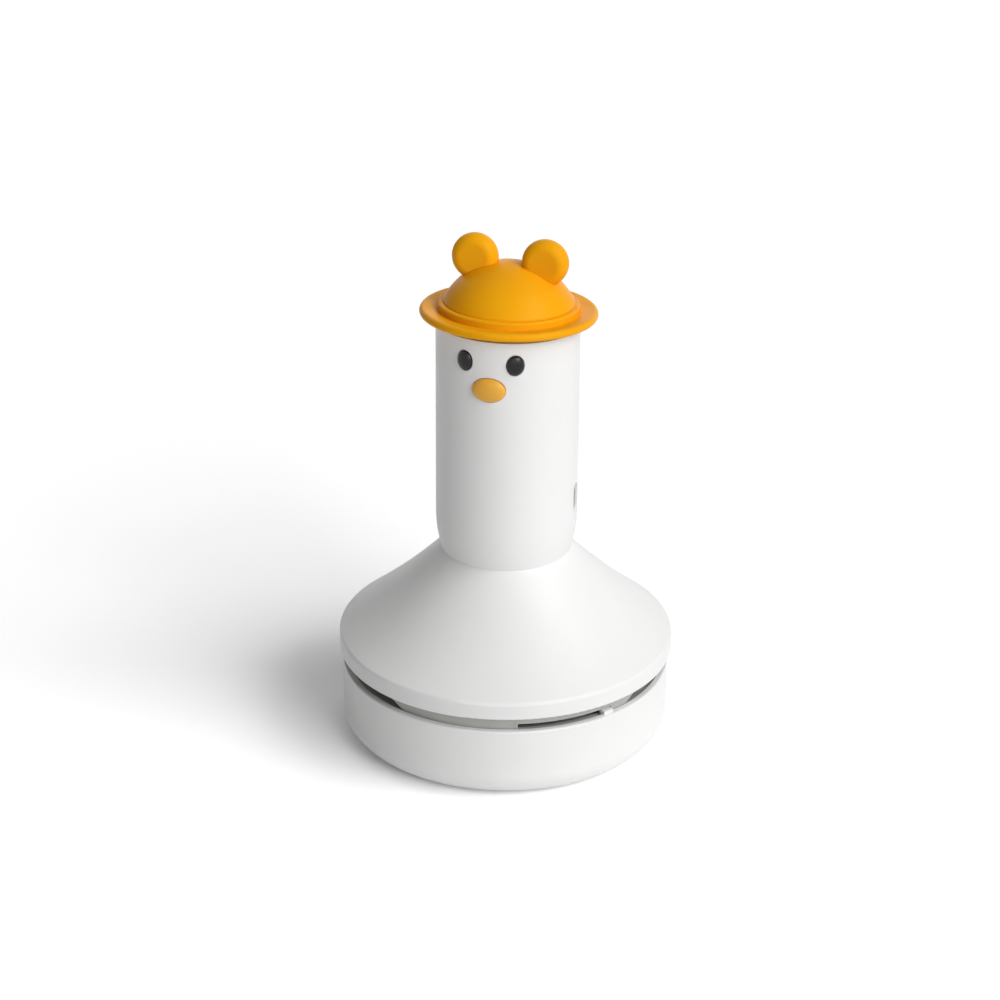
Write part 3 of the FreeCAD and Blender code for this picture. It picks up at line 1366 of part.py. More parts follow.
def make_board_components():
    """Coil and chips on the back of the board."""
    coil = cylinder("coil", S.coil_radius, S.coil_height, 0, BOARD_BACK, BOARD_TOP - S.coil_drop, roll=-90)
    pieces = [coil]
    pitch = RAIL_REACH - S.chip_width / 2 - S.chip_gap
    for index in range(TRIO):
        pieces.append(block(f"chip_{index + 1}", S.chip_width, S.chip_thickness, S.chip_width,
                            pitch * (index - 1), BOARD_BACK + S.chip_thickness / 2,
                            BOARD_TOP - S.chip_drop))
    return part("board_components", group("component_set", pieces))


def make_battery_cell():
    """Rechargeable cell with its raised contact."""
    can = cylinder("cell_can", CELL_RADIUS, S.cell_length, 0, CELL_PLACE, CELL_FOOT)
    nub = cylinder("cell_nub_disc", S.cell_nub_radius, S.cell_nub * 2, 0, CELL_PLACE,
                   CELL_FOOT + S.cell_length - S.cell_nub)
    return part("battery_cell", fused("cell_whole", [can, nub]))


def cradle_pegs(name, radius, length, start):
    """Four pegs through the board, or the holes for them."""
    pegs = []
    place_x = CRADLE_WIDTH / 2 - S.cradle_peg_inset
    for side in (LEFT, RIGHT):
        for row, z in enumerate((CRADLE_LOW + S.cradle_peg_edge, CRADLE_TOP - S.cradle_peg_edge)):
            pegs.append(cylinder(f"{name}_{side + 2}_{row + 1}", radius, length, place_x * side, start, z,
                                 roll=-90))
    return pegs


def contact_plate(name, low, tab_low):
    """Spring-steel plate at one end of the cell, with a tab down or up the board."""
    end = BOARD_FRONT - S.seat_gap
    depth = end - CELL_PLACE
    plate = block(name + "_plate", S.contact_width, depth, S.contact, 0, CELL_PLACE + depth / 2, low)
    tab = block(name + "_tab", S.contact_tab, S.contact, S.contact_tab_length, 0, end - S.contact / 2,
                tab_low)
    return fused(name + "_whole", [plate, tab])


def make_contacts():
    """The two contacts of the cell."""
    top = contact_plate("contact_top", CELL_END, CELL_END + S.contact - S.contact_tab_length)
    low = CELL_FOOT - S.cell_spring_space - S.contact
    bottom = contact_plate("contact_bottom", low, low)
    return part("battery_contact_top", top), part("battery_contact_bottom", bottom)


def make_battery_cradle():
    """Cradle that holds the cell in front of the board, on four pegs through it."""
    top = CRADLE_TOP - S.cradle_plate
    height = CRADLE_TOP - CRADLE_LOW
    back_y = CRADLE_BACK - S.cradle_plate / 2
    back = block("cradle_back", CRADLE_WIDTH, S.cradle_plate, height, 0, back_y, CRADLE_LOW)
    depth = CRADLE_BACK - CELL_PLACE + CELL_RADIUS * 0.75
    pieces = [back]
    for name, z in (("cradle_floor", CRADLE_LOW), ("cradle_roof", top)):
        pieces.append(block(name, CRADLE_WIDTH, depth, S.cradle_plate, 0, CRADLE_BACK - depth / 2, z))
    shell_radius = CELL_RADIUS + S.seat_gap
    half = cylinder("cradle_half", shell_radius + S.cradle_wall, height, 0, CELL_PLACE, CRADLE_LOW,
                    sweep=FULL_TURN / 2)
    pieces += cradle_pegs("cradle_peg", S.cradle_peg_radius,
                          BOARD_BACK - back_y, back_y)
    solid = fused("cradle_solid", pieces + [half])
    cell_space = cylinder("cell_space", shell_radius, top - CRADLE_LOW - S.cradle_plate, 0, CELL_PLACE,
                          CRADLE_LOW + S.cradle_plate)
    tools = [cell_space]
    slot_depth = CRADLE_BACK + S.overrun - CELL_PLACE
    for name, z in (("slot_low", CRADLE_LOW + S.cradle_plate), ("slot_high", top - S.contact - S.seat_gap)):
        tools.append(block(name, S.contact_width + S.seat_gap * 2, slot_depth, S.contact + S.seat_gap, 0,
                           CELL_PLACE + slot_depth / 2, z))
    return part("battery_cradle", cut("cradle_cut", solid, fused("cradle_tools", tools)))


def coil_spring(name, radius, wire, turns, height, x, y, z):
    """Helical spring swept along its own helix, turn by turn."""
    helix = DOC.addObject("Part::Helix", name + "_helix")
    bind(helix, "Radius", radius)
    bind(helix, "Pitch", height / turns)
    bind(helix, "Height", height)
    helix.SegmentLength = 1
    place(helix, x, y, z)
    section = DOC.addObject("Part::Circle", name + "_section")
    bind(section, "Radius", wire)
    place(section, x + radius, y, z, roll=90)
    DOC.recompute()
    sweep = DOC.addObject("Part::Sweep", name + "_sweep")
    sweep.Sections = [section]
    sweep.Spine = (helix, [f"Edge{index + 1}" for index in range(len(helix.Shape.Edges))])
    sweep.Solid = True
    sweep.Frenet = True
    return sweep


def make_battery_spring():
    """Spring that presses the cell on its upper contact."""
    height = S.cell_spring_space - S.spring_wire * 2 - S.running_gap * 2
    low = CELL_FOOT - S.cell_spring_space + S.spring_wire + S.running_gap
    return part("battery_spring", coil_spring("battery_spring", S.cell_spring_radius, S.spring_wire,
                                              CELL_SPRING_TURNS, height, 0, CELL_PLACE, low))


def make_motor_leads():
    """Two leads from the motor's tabs up behind the board, each bent once onto it."""
    low = END_CAP_TOP + S.terminal_height
    top = low + S.lead_rise
    end = BOARD_BACK + S.seat_gap
    bend = TERMINAL_PLACE - end - S.lead_radius
    leads = []
    for side in (LEFT, RIGHT):
        name = f"lead_{side + 2}"
        x = S.terminal_apart / 2 * side
        rise = cylinder(name + "_rise", S.lead_radius, S.lead_rise, x, TERMINAL_PLACE, low)
        knee = DOC.addObject("Part::Torus", name + "_knee")
        bind(knee, "Radius1", bend)
        bind(knee, "Radius2", S.lead_radius)
        bind(knee, "Angle3", FULL_TURN / 4)
        place(knee, x, TERMINAL_PLACE - bend, top, yaw=90, roll=90)
        reach = cylinder(name + "_reach", S.lead_radius, S.lead_radius, x, TERMINAL_PLACE - bend,
                         top + bend, roll=90)
        leads.append(fused(name, [rise, knee, reach]))
    return part("motor_leads", group("lead_pair", leads))


# Switch under the cap, and the hat that presses it

def make_top_cap():
    """Cap in the handle's top that guides the hat's stem and carries the switch."""
    guide_bore = S.stem_radius + S.running_gap
    guide_outer = guide_bore + S.guide_wall
    cap = turned("top_cap", [
        corner(guide_bore, CAP_LOW),
        corner(HANDLE_INNER - S.fit_gap, CAP_LOW),
        corner(HANDLE_INNER - S.fit_gap, CAP_TOP),
        corner(COLLAR_RADIUS, CAP_TOP),
        corner(COLLAR_RADIUS, CAP_TOP + S.collar_height),
        corner(COLLAR_INNER, CAP_TOP + S.collar_height),
        corner(COLLAR_INNER, CAP_TOP),
        corner(guide_outer, CAP_TOP),
        corner(guide_outer, CAP_TOP + S.guide_height),
        corner(guide_bore, CAP_TOP + S.guide_height),
    ])
    tools = on_circle("cap_hole", TRIO, CAP_SCREW_CIRCLE, 90, lambda name, x, y: cylinder(
        name, S.screw_radius + S.seat_gap, S.cap_disc + S.overrun * 2, x, y, CAP_LOW - S.overrun))
    for side in (LEFT, RIGHT):
        tools.append(cylinder(f"switch_pilot_{side + 2}", S.small_screw_radius + S.seat_gap,
                              S.small_screw_length - S.switch_ear + S.seat_gap + S.overrun,
                              SWITCH_SCREW_PLACE * side, 0, CAP_LOW - S.overrun))
    return part("top_cap", cut("cap_drilled", cap, fused("cap_tools", tools)))


def make_cap_screws():
    """Screws down through the cap into the handle's ledge."""
    screws = on_circle("cap_screw", TRIO, CAP_SCREW_CIRCLE, 90, lambda name, x, y: screw(
        name, x, y, CAP_TOP, hangs=False))
    return part("cap_screws", group("cap_screw_set", screws))


def make_power_switch():
    """Push switch under the cap, with the pocket its plunger slides in."""
    pin_length = SWITCH_LOW - BOARD_TOP + S.switch_pin_lap
    body = block("switch_box", SWITCH_WIDTH, SWITCH_DEPTH, S.switch_height, z=SWITCH_LOW)
    ears = block("switch_ears", SWITCH_EAR_WIDTH, S.switch_ear_depth, S.switch_ear,
                 z=CAP_LOW - S.switch_ear)
    pins = []
    for side in (LEFT, RIGHT):
        pins.append(block(f"switch_pin_{side + 2}", S.lead_radius * 2, S.lead_radius,
                          pin_length + S.switch_height / 2, SWITCH_WIDTH / 4 * side,
                          BOARD_BACK + S.running_gap + S.lead_radius / 2, SWITCH_LOW - pin_length))
    tools = [cylinder("switch_bore", S.plunger_radius + S.running_gap, S.switch_pocket + S.overrun,
                      z=CAP_LOW - S.switch_pocket)]
    for side in (LEFT, RIGHT):
        tools.append(cylinder(f"switch_hole_{side + 2}", S.small_screw_radius + S.seat_gap,
                              S.switch_ear + S.overrun * 2, SWITCH_SCREW_PLACE * side, 0,
                              CAP_LOW - S.switch_ear - S.overrun))
    return part("power_switch", cut("switch_cut", fused("switch_whole", [body, ears] + pins),
                                    fused("switch_tools", tools)))


def make_switch_screws():
    """Two small screws up through the switch's ears into the cap."""
    screws = []
    for side in (LEFT, RIGHT):
        screws.append(screw(f"switch_screw_{side + 2}", SWITCH_SCREW_PLACE * side, 0,
                            CAP_LOW - S.switch_ear, small=True))
    return part("switch_screws", group("switch_screw_set", screws))


def make_switch_plunger():
    """Plunger that the hat's stem pushes down."""
    low = CAP_LOW - S.switch_pocket + S.hat_travel + S.plunger_gap
    return part("switch_plunger", cylinder("plunger", S.plunger_radius, STEM_FOOT - low, z=low))


def make_hat_stem():
    """Stem that slides in the cap's guide, with the collar the spring pushes on."""
    stem = turned("hat_stem", [
        corner(0, STEM_FOOT),
        corner(S.stem_radius, STEM_FOOT),
        corner(S.stem_radius, STEM_COLLAR_LOW),
        corner(S.stem_collar_radius, STEM_COLLAR_LOW),
        corner(S.stem_collar_radius, STEM_COLLAR_LOW + S.stem_collar),
        corner(S.stem_radius, STEM_COLLAR_LOW + S.stem_collar),
        corner(S.stem_radius, STEM_FOOT + S.stem_length),
        corner(0, STEM_FOOT + S.stem_length),
    ])
    return part("hat_stem", stem)


def make_hat_spring():
    """Return spring between the cap and the stem's collar."""
    low = CAP_TOP + S.hat_spring_wire + S.running_gap
    height = STEM_COLLAR_LOW - S.hat_spring_wire - S.running_gap - low
    return part("hat_spring", coil_spring("hat_spring", S.hat_spring_radius, S.hat_spring_wire,
                                          HAT_SPRING_TURNS, height, 0, 0, low))


def set_in_hat(piece, x=0, y=0, z=0):
    """Move a piece drawn about the brim's middle to its place on the tilted hat."""
    lean = S.hat_tilt
    world_y = S.hat_back + y * cosine(lean) + z * sine(lean)
    world_z = HAT_MIDDLE - y * sine(lean) + z * cosine(lean)
    place(piece, x, world_y, world_z, roll=-lean)
    return piece


def hat_outer_outline():
    """Outer face of the hat: rolled brim, raised band, groove line and dome."""
    half = S.brim_thickness / 2
    dome_low = S.band_height + S.groove_rise
    rise = S.dome_height - dome_low
    dome_curve = DOME_RADIUS * DOME_RADIUS / (rise * 2) + rise / 2
    return [
        corner(0, -half),
        corner(BRIM_RADIUS - half, -half),
        curve(BRIM_RADIUS, 0, half, LEFT),
        curve(BRIM_RADIUS - half, half, half, LEFT),
        corner(BAND_RADIUS, half - S.brim_dish),
        corner(BAND_RADIUS, S.band_height - S.band_round),
        curve(BAND_RADIUS - S.band_round, S.band_height, S.band_round, LEFT),
        corner(DOME_RADIUS, S.band_height),
        corner(DOME_RADIUS, dome_low),
        curve(0, S.dome_height, dome_curve, LEFT),
    ]


def hat_hollow_outline():
    """Hollow under the hat."""
    half = S.brim_thickness / 2
    dome_low = S.band_height + S.groove_rise
    rise = S.dome_height - dome_low
    inner_radius = DOME_RADIUS - S.wall
    dome_curve = inner_radius * inner_radius / (rise * 2) + rise / 2
    return [
        corner(0, -half - S.overrun),
        corner(HOLLOW_RADIUS, -half - S.overrun),
        corner(HOLLOW_RADIUS, S.hollow_height),
        corner(inner_radius, dome_low - S.wall / 2),
        curve(0, dome_low - S.wall / 2 + rise - S.wall / 2, dome_curve, LEFT),
    ]


def make_hat_shell():
    """Hat with a hollow dome, a boss for the stem and holes for the ears' pegs."""
    outer = set_in_hat(turned("hat_outer", hat_outer_outline()))
    trim = set_in_hat(turned("hat_trim", hat_outer_outline()), z=-S.wall / 2)
    hollow = set_in_hat(turned("hat_hollow", hat_hollow_outline()))
    walls = cut("hat_walls", outer, hollow)
    boss_low = STEM_COLLAR_LOW + S.stem_collar
    boss = cylinder("hat_boss", S.hat_boss_radius, S.dome_height, z=boss_low)
    bossed = fused("hat_bossed", [walls, shared("hat_boss_trimmed", boss, trim)])
    tools = [cylinder("stem_bore", S.stem_radius + S.running_gap,
                      S.stem_length - S.stem_collar_lift - S.stem_collar + S.seat_gap + S.overrun,
                      z=boss_low - S.overrun)]
    for side in (LEFT, RIGHT):
        hole = cylinder(f"ear_hole_{side + 2}", S.ear_peg_radius + S.seat_gap, S.ear_peg_drop + S.overrun)
        tools.append(set_in_hat(hole, x=EAR_APART / 2 * side,
                                z=EAR_HEIGHT - S.ear_peg_drop - S.overrun))
    return part("hat_shell", cut("hat_drilled", bossed, fused("hat_tools", tools)))


def ear_outline():
    """Half section of an ear: a thick disc with a broad round edge."""
    half = S.ear_thickness / 2
    return [
        corner(0, -half),
        corner(S.ear_radius - S.ear_round, -half),
        curve(S.ear_radius, S.ear_round - half, S.ear_round, LEFT),
        corner(S.ear_radius, half - S.ear_round),
        curve(S.ear_radius - S.ear_round, half, S.ear_round, LEFT),
        corner(0, half),
    ]


def make_ear(name, side):
    """Round ear on the dome, with the peg that plugs it in."""
    disc = turned(name, ear_outline())
    lean = S.hat_tilt
    x = EAR_APART / 2 * side
    place(disc, x, S.hat_back + EAR_HEIGHT * sine(lean), HAT_MIDDLE + EAR_HEIGHT * cosine(lean),
          roll=90 - lean)
    under = set_in_hat(turned(name + "_under", hat_outer_outline()), z=S.running_gap)
    seated = cut(name + "_seated", disc, under)
    peg = set_in_hat(cylinder(name + "_peg", S.ear_peg_radius, S.ear_peg_drop), x=x,
                     z=EAR_HEIGHT - S.ear_peg_drop)
    return part(name, fused(name + "_whole", [seated, peg]))


def build():
    """Make every sub-part."""
    make_dust_tray()
    make_base_feet()
    make_inlet_duct()
    make_duct_bristles()
    make_duct_hood()
    make_vent_ring()
    make_tray_seal()
    make_exhaust_foam()
    make_ring_screws()
    make_filter_frame()
    make_filter_media()
    make_cone_shell()
    make_fan_cup()
    make_cup_screws()
    make_motor_mount()
    make_mount_screws()
    make_motor_screws()
    make_motor_can()
    make_motor_magnets()
    make_motor_end_cap()
    make_motor_terminals()
    make_motor_shaft()
    make_motor_armature()
    make_impeller()
    make_handle_tube()
    for name, half_width, half_height, depth, height, turn in FACE:
        make_face_piece(name, half_width, half_height, depth, height, turn)
    make_neck_screws()
    make_usb_socket()
    make_circuit_board()
    make_board_screws()
    make_board_components()
    make_battery_cell()
    make_contacts()
    make_battery_cradle()
    make_battery_spring()
    make_motor_leads()
    make_top_cap()
    make_cap_screws()
    make_power_switch()
    make_switch_screws()
    make_switch_plunger()
    make_hat_stem()
    make_hat_spring()
    make_hat_shell()
    make_ear("ear_left", RIGHT)
    make_ear("ear_right", LEFT)


def check_and_write():
    """Stop on any failed object, else write one file for each sub-part."""
    DOC.recompute()
    for item in DOC.Objects:
        if "Invalid" in item.State or "Error" in item.State:
            raise RuntimeError(f"{item.Label} failed: {item.State}")
    for piece in PARTS:
        if piece.Shape.isNull() or not piece.Shape.isValid():
            raise RuntimeError(f"{piece.Label} has no valid shape")
    os.makedirs("parts", exist_ok=True)
    for piece in PARTS:
        piece.Shape.exportStep(f"parts/{piece.Label}.step")
        print(f"{piece.Label}: {len(piece.Shape.Solids)} solids, {piece.Shape.Volume:.1f} mm3")


build()
check_and_write()
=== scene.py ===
"""Looks of the desktop vacuum cleaner: finishes, fine detail, lamps and camera.

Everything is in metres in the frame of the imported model: +Z up, the face looks along -Y.
"""

from __future__ import annotations

import logging
import math
from dataclasses import dataclass, field
from enum import Enum
from typing import Any, Iterable, Mapping, Union

import bpy
from mathutils import Matrix, Vector

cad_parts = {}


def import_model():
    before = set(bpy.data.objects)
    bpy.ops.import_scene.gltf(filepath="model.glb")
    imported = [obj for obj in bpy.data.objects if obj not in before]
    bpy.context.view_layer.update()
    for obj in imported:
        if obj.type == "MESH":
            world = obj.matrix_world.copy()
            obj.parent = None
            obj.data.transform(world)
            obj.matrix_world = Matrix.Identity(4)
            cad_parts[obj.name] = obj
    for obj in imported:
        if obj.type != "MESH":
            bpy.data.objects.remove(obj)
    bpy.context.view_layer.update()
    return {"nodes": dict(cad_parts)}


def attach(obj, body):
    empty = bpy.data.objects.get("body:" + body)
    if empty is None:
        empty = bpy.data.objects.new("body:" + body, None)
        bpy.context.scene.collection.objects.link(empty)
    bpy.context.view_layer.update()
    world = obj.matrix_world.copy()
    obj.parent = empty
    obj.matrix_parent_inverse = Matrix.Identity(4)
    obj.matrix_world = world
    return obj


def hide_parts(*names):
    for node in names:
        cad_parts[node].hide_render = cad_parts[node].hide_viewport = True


LOG = logging.getLogger("desk_vacuum")
MM = 0.001

Triple = tuple[float, float, float]
Colour = Triple
Number = Union[float, "Value"]

WHITE: Colour = (1.0, 1.0, 1.0)
OPAQUE = 1.0
STILL: Triple = (0.0, 0.0, 0.0)
HALF = 0.5


class Body(Enum):
    """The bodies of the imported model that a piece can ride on."""

    TRAY = "tray"
    HOUSING = "housing"
    ROTOR = "rotor"
    HAT = "hat"


class Direction(Enum):
    """The way that a metal's brush marks run."""

    UPRIGHT = (1.0, 1.0, 0.04)
    ROUND = (0.08, 0.08, 1.0)
    NONE = (1.0, 1.0, 1.0)


class Value:
    """A material's socket that takes Python's arithmetic."""

    def __init__(self, shader: "Shader", socket: bpy.types.NodeSocket) -> None:
        """Keep the socket and the shader it belongs to."""
        self.shader = shader
        self.socket = socket

    def _maths(self, operation: str, first: Number, second: Number) -> "Value":
        """Add a Math node for one operation."""
        return self.shader.node("ShaderNodeMath", {"operation": operation}, {0: first, 1: second})

    def __add__(self, other: Number) -> "Value":
        """Return self + other."""
        return self._maths("ADD", self, other)

    def __radd__(self, other: Number) -> "Value":
        """Return other + self."""
        return self._maths("ADD", other, self)

    def __sub__(self, other: Number) -> "Value":
        """Return self - other."""
        return self._maths("SUBTRACT", self, other)

    def __rsub__(self, other: Number) -> "Value":
        """Return other - self."""
        return self._maths("SUBTRACT", other, self)

    def __mul__(self, other: Number) -> "Value":
        """Return self * other."""
        return self._maths("MULTIPLY", self, other)

    def __lt__(self, other: Number) -> "Value":
        """Return 1 where self is below other, else 0."""
        return self._maths("LESS_THAN", self, other)

    def larger(self, other: Number) -> "Value":
        """Return the larger of the two."""
        return self._maths("MAXIMUM", self, other)

    def ramp(self, low: float, high: float) -> "Value":
        """Rise smoothly from 0 at low to 1 at high.

        Args:
            low: The value at which the result leaves 0.
            high: The value at which the result reaches 1.

        Returns:
            The eased value.
        """
        settings = {"interpolation_type": "SMOOTHSTEP"}
        return self.shader.node("ShaderNodeMapRange", settings,
                                {"Value": self, "From Min": low, "From Max": high})


class Shader:
    """A material's node tree, written as expressions."""

    def __init__(self, name: str) -> None:
        """Start an empty material of that name."""
        self.material = bpy.data.materials.new(name)
        self.material.use_nodes = True
        self.tree = self.material.node_tree
        self.tree.nodes.clear()
        self.output = self.tree.nodes.new("ShaderNodeOutputMaterial")

    def node(self, kind: str, settings: Mapping[str, Any] | None = None,
             inputs: Mapping[str | int, Any] | None = None, output: str | int = 0) -> Value:
        """Add one node.

        Args:
            kind: The node's type.
            settings: Its properties, set before its sockets.
            inputs: Numbers, tuples or values for its sockets, by name or place.
            output: The socket that the result reads.

        Returns:
            The chosen output as a value.
        """
        node = self.tree.nodes.new(kind)
        for key, setting in (settings or {}).items():
            setattr(node, key, setting)
        for key, given in (inputs or {}).items():
            if isinstance(given, Value):
                self.tree.links.new(given.socket, node.inputs[key])
            else:
                node.inputs[key].default_value = given
        return Value(self, node.outputs[output])

    def place(self) -> Value:
        """Object coordinates, in metres."""
        return self.node("ShaderNodeTexCoord", output="Object")

    def stretched(self, place: Value, factors: Triple) -> Value:
        """Coordinates multiplied axis by axis."""
        return self.node("ShaderNodeVectorMath", {"operation": "MULTIPLY"}, {0: place, 1: factors})

    def noise(self, place: Value, size: float, detail: float = 2.0, roughness: float = 0.5) -> Value:
        """Cloudy noise from 0 to 1.

        Args:
            place: The coordinates it reads.
            size: The width of one cloud, in metres.
            detail: How many finer layers it holds.
            roughness: How strong those layers are.

        Returns:
            The noise.
        """
        return self.node("ShaderNodeTexNoise", {}, {
            "Vector": place, "Scale": 1.0 / size, "Detail": detail, "Roughness": roughness})

    def cells(self, place: Value, size: float) -> Value:
        """Distance pattern of random cells of that size."""
        return self.node("ShaderNodeTexVoronoi", {"feature": "F1"},
                         {"Vector": place, "Scale": 1.0 / size}, "Distance")

    def mix(self, share: Number, first: Colour | Value, second: Colour | Value) -> Value:
        """Blend two colours by a share from 0 to 1."""
        inputs: dict[str | int, Any] = {0: share}
        for index, colour in ((6, first), (7, second)):
            inputs[index] = colour if isinstance(colour, Value) else (*colour, OPAQUE)
        return self.node("ShaderNodeMix", {"data_type": "RGBA"}, inputs, 2)

    def bump(self, height: Value, depth: float, strength: float = 1.0,
             normal: Value | None = None) -> Value:
        """Turn a height from 0 to 1 into a normal.

        Args:
            height: The relief.
            depth: How deep the relief is, in metres.
            strength: The share of it that shows.
            normal: A normal that it adds to.

        Returns:
            The bumped normal.
        """
        inputs: dict[str | int, Any] = {"Height": height, "Distance": depth, "Strength": strength}
        if normal is not None:
            inputs["Normal"] = normal
        return self.node("ShaderNodeBump", {}, inputs)

    def surface(self, inputs: Mapping[str, Any]) -> bpy.types.Material:
        """End the material in a Principled shader.

        Args:
            inputs: Numbers, colours or values for its sockets.

        Returns:
            The finished material.
        """
        ready = {key: (*given, OPAQUE) if isinstance(given, tuple) and "Color" in key else given
                 for key, given in inputs.items()}
        shader = self.node("ShaderNodeBsdfPrincipled", {}, ready)
        self.tree.links.new(shader.socket, self.output.inputs["Surface"])
        return self.material


@dataclass(frozen=True)
class MouldedPlastic:
    """Moulded plastic: a fine spark-eroded grain, faint flow marks and the dulling of handling.

    A share says how far a mark goes from the colour to the shade, a dulling how much roughness it adds.
    """

    name: str
    colour: Colour
    shade: Colour
    roughness: float = 0.36
    gloss: float = 0.5
    refraction: float = 1.49
    coat: float = 0.0
    coat_roughness: float = 0.12
    flow_size: float = 26 * MM
    flow_stretch: Triple = (1.0, 1.0, 0.45)
    flow_share: float = 0.6
    handling_size: float = 9 * MM
    handling_share: float = 0.25
    handling_dulling: float = 0.10
    speck_spacing: float = 5.5 * MM
    speck_reach: float = 0.035
    speck_share: float = 0.35
    grain_size: float = 0.45 * MM
    grain_depth: float = 0.006 * MM
    grain_dulling: float = 0.06
    ripple_size: float = 7 * MM
    ripple_depth: float = 0.02 * MM

    def material(self) -> bpy.types.Material:
        """Build the material."""
        shader = Shader(self.name)
        place = shader.place()
        flow = shader.noise(shader.stretched(place, self.flow_stretch), self.flow_size, detail=3.0)
        handling = shader.noise(place, self.handling_size, detail=4.0, roughness=0.6).ramp(0.42, 0.72)
        specks = shader.cells(place, self.speck_spacing) < self.speck_reach
        grain = shader.noise(place, self.grain_size, roughness=0.55)
        ripple = shader.noise(place, self.ripple_size, detail=1.0)
        marks = flow.ramp(0.3, 0.75) * self.flow_share + handling * self.handling_share
        tone = shader.mix(marks, self.colour, self.shade)
        rippled = shader.bump(ripple, self.ripple_depth, strength=0.25)
        dulled = self.roughness + (handling - HALF) * self.handling_dulling
        return shader.surface({
            "Base Color": shader.mix(specks * self.speck_share, tone, self.shade),
            "Roughness": dulled + (grain - HALF) * self.grain_dulling,
            "IOR": self.refraction,
            "Specular IOR Level": self.gloss,
            "Coat Weight": self.coat,
            "Coat Roughness": self.coat_roughness,
            "Normal": shader.bump(grain, self.grain_depth, 0.5, rippled),
        })


@dataclass(frozen=True)
class WorkedMetal:
    """Metal with brush or draw marks, and patches of tarnish."""

    name: str
    colour: Colour
    tarnish: Colour
    roughness: float = 0.3
    marks: Direction = Direction.NONE
    mark_width: float = 0.15 * MM
    mark_depth: float = 0.01 * MM
    mark_share: float = 0.2
    mark_dulling: float = 0.14
    patch_size: float = 3.5 * MM
    patch_share: float = 0.55
    patch_dulling: float = 0.18

    def material(self) -> bpy.types.Material:
        """Build the material."""
        shader = Shader(self.name)
        place = shader.place()
        drawn = shader.stretched(place, self.marks.value)
        marks = shader.noise(drawn, self.mark_width, detail=3.0, roughness=0.6)
        patches = shader.noise(place, self.patch_size, detail=4.0, roughness=0.65).ramp(0.45, 0.8)
        tarnished = patches * self.patch_share + marks * self.mark_share
        return shader.surface({
            "Base Color": shader.mix(tarnished, self.colour, self.tarnish),
            "Metallic": 1.0,
            "Roughness": self.roughness + marks * self.mark_dulling + patches * self.patch_dulling,
            "Normal": shader.bump(marks, self.mark_depth, strength=0.5),
        })


@dataclass(frozen=True)
class SoftRubber:
    """Rubber: matt, with a bloom of dust in its pores."""

    name: str
    colour: Colour
    bloom: Colour
    roughness: float = 0.68
    pore_size: float = 0.3 * MM
    pore_depth: float = 0.03 * MM
    dust_size: float = 4 * MM
    dust_share: float = 0.5
    dust_dulling: float = 0.2

    def material(self) -> bpy.types.Material:
        """Build the material."""
        shader = Shader(self.name)
        place = shader.place()
        pores = shader.noise(place, self.pore_size, detail=3.0, roughness=0.6)
        dust = shader.noise(place, self.dust_size, detail=4.0, roughness=0.6).ramp(0.5, 0.8)
        return shader.surface({
            "Base Color": shader.mix(dust * self.dust_share, self.colour, self.bloom),
            "Roughness": self.roughness + dust * self.dust_dulling,
            "Normal": shader.bump(pores, self.pore_depth, strength=0.6),
        })


@dataclass(frozen=True)
class OpenFoam:
    """Open-cell foam: paler struts, with painted shade in the pores between them."""

    name: str
    colour: Colour
    pore_painted_shade: Colour
    cell: float = 0.9 * MM
    fine_cell: float = 0.405 * MM
    relief: float = 0.4 * MM
    roughness: float = 0.9
    sheen: float = 0.25

    def material(self) -> bpy.types.Material:
        """Build the material."""
        shader = Shader(self.name)
        place = shader.place()
        wide = shader.cells(place, self.cell)
        fine = shader.cells(place, self.fine_cell)
        struts = (wide * 0.7 + fine * 0.5).ramp(0.25, 0.7)
        return shader.surface({
            # The pores take the darker colour: painted shade inside the cells.
            "Base Color": shader.mix(struts, self.pore_painted_shade, self.colour),
            "Roughness": self.roughness,
            "Sheen Weight": self.sheen,
            "Normal": shader.bump(struts, self.relief, strength=0.8),
        })


@dataclass(frozen=True)
class PressedCloth:
    """Non-woven filter cloth: crossing fibres, greyed where dust gathers, with painted shade in the gaps
    between the fibres.
    """

    name: str
    colour: Colour
    # This colour serves both the real dust and the painted shade in the gaps between fibres.
    dust: Colour
    fibre_width: float = 0.22 * MM
    fibre_draw: float = 0.12
    fibre_depth: float = 0.12 * MM
    gap_shade_share: float = 0.35
    dust_size: float = 8 * MM
    dust_share: float = 0.5
    roughness: float = 0.92
    sheen: float = 0.3

    def material(self) -> bpy.types.Material:
        """Build the material."""
        shader = Shader(self.name)
        place = shader.place()
        along, across = (
            shader.noise(shader.stretched(place, draw), self.fibre_width, detail=3.0, roughness=0.6)
            for draw in ((1.0, self.fibre_draw, 1.0), (self.fibre_draw, 1.0, 1.0)))
        fibres = along.larger(across)
        dust = shader.noise(place, self.dust_size, detail=4.0).ramp(0.4, 0.8)
        # Real dust, plus painted shade in the gaps between fibres, both mixed towards the dust colour.
        dust_and_gap_shade = dust * self.dust_share + (1 - fibres) * self.gap_shade_share
        return shader.surface({
            "Base Color": shader.mix(dust_and_gap_shade, self.colour, self.dust),
            "Roughness": self.roughness,
            "Sheen Weight": self.sheen,
            "Normal": shader.bump(fibres, self.fibre_depth, strength=0.8),
        })


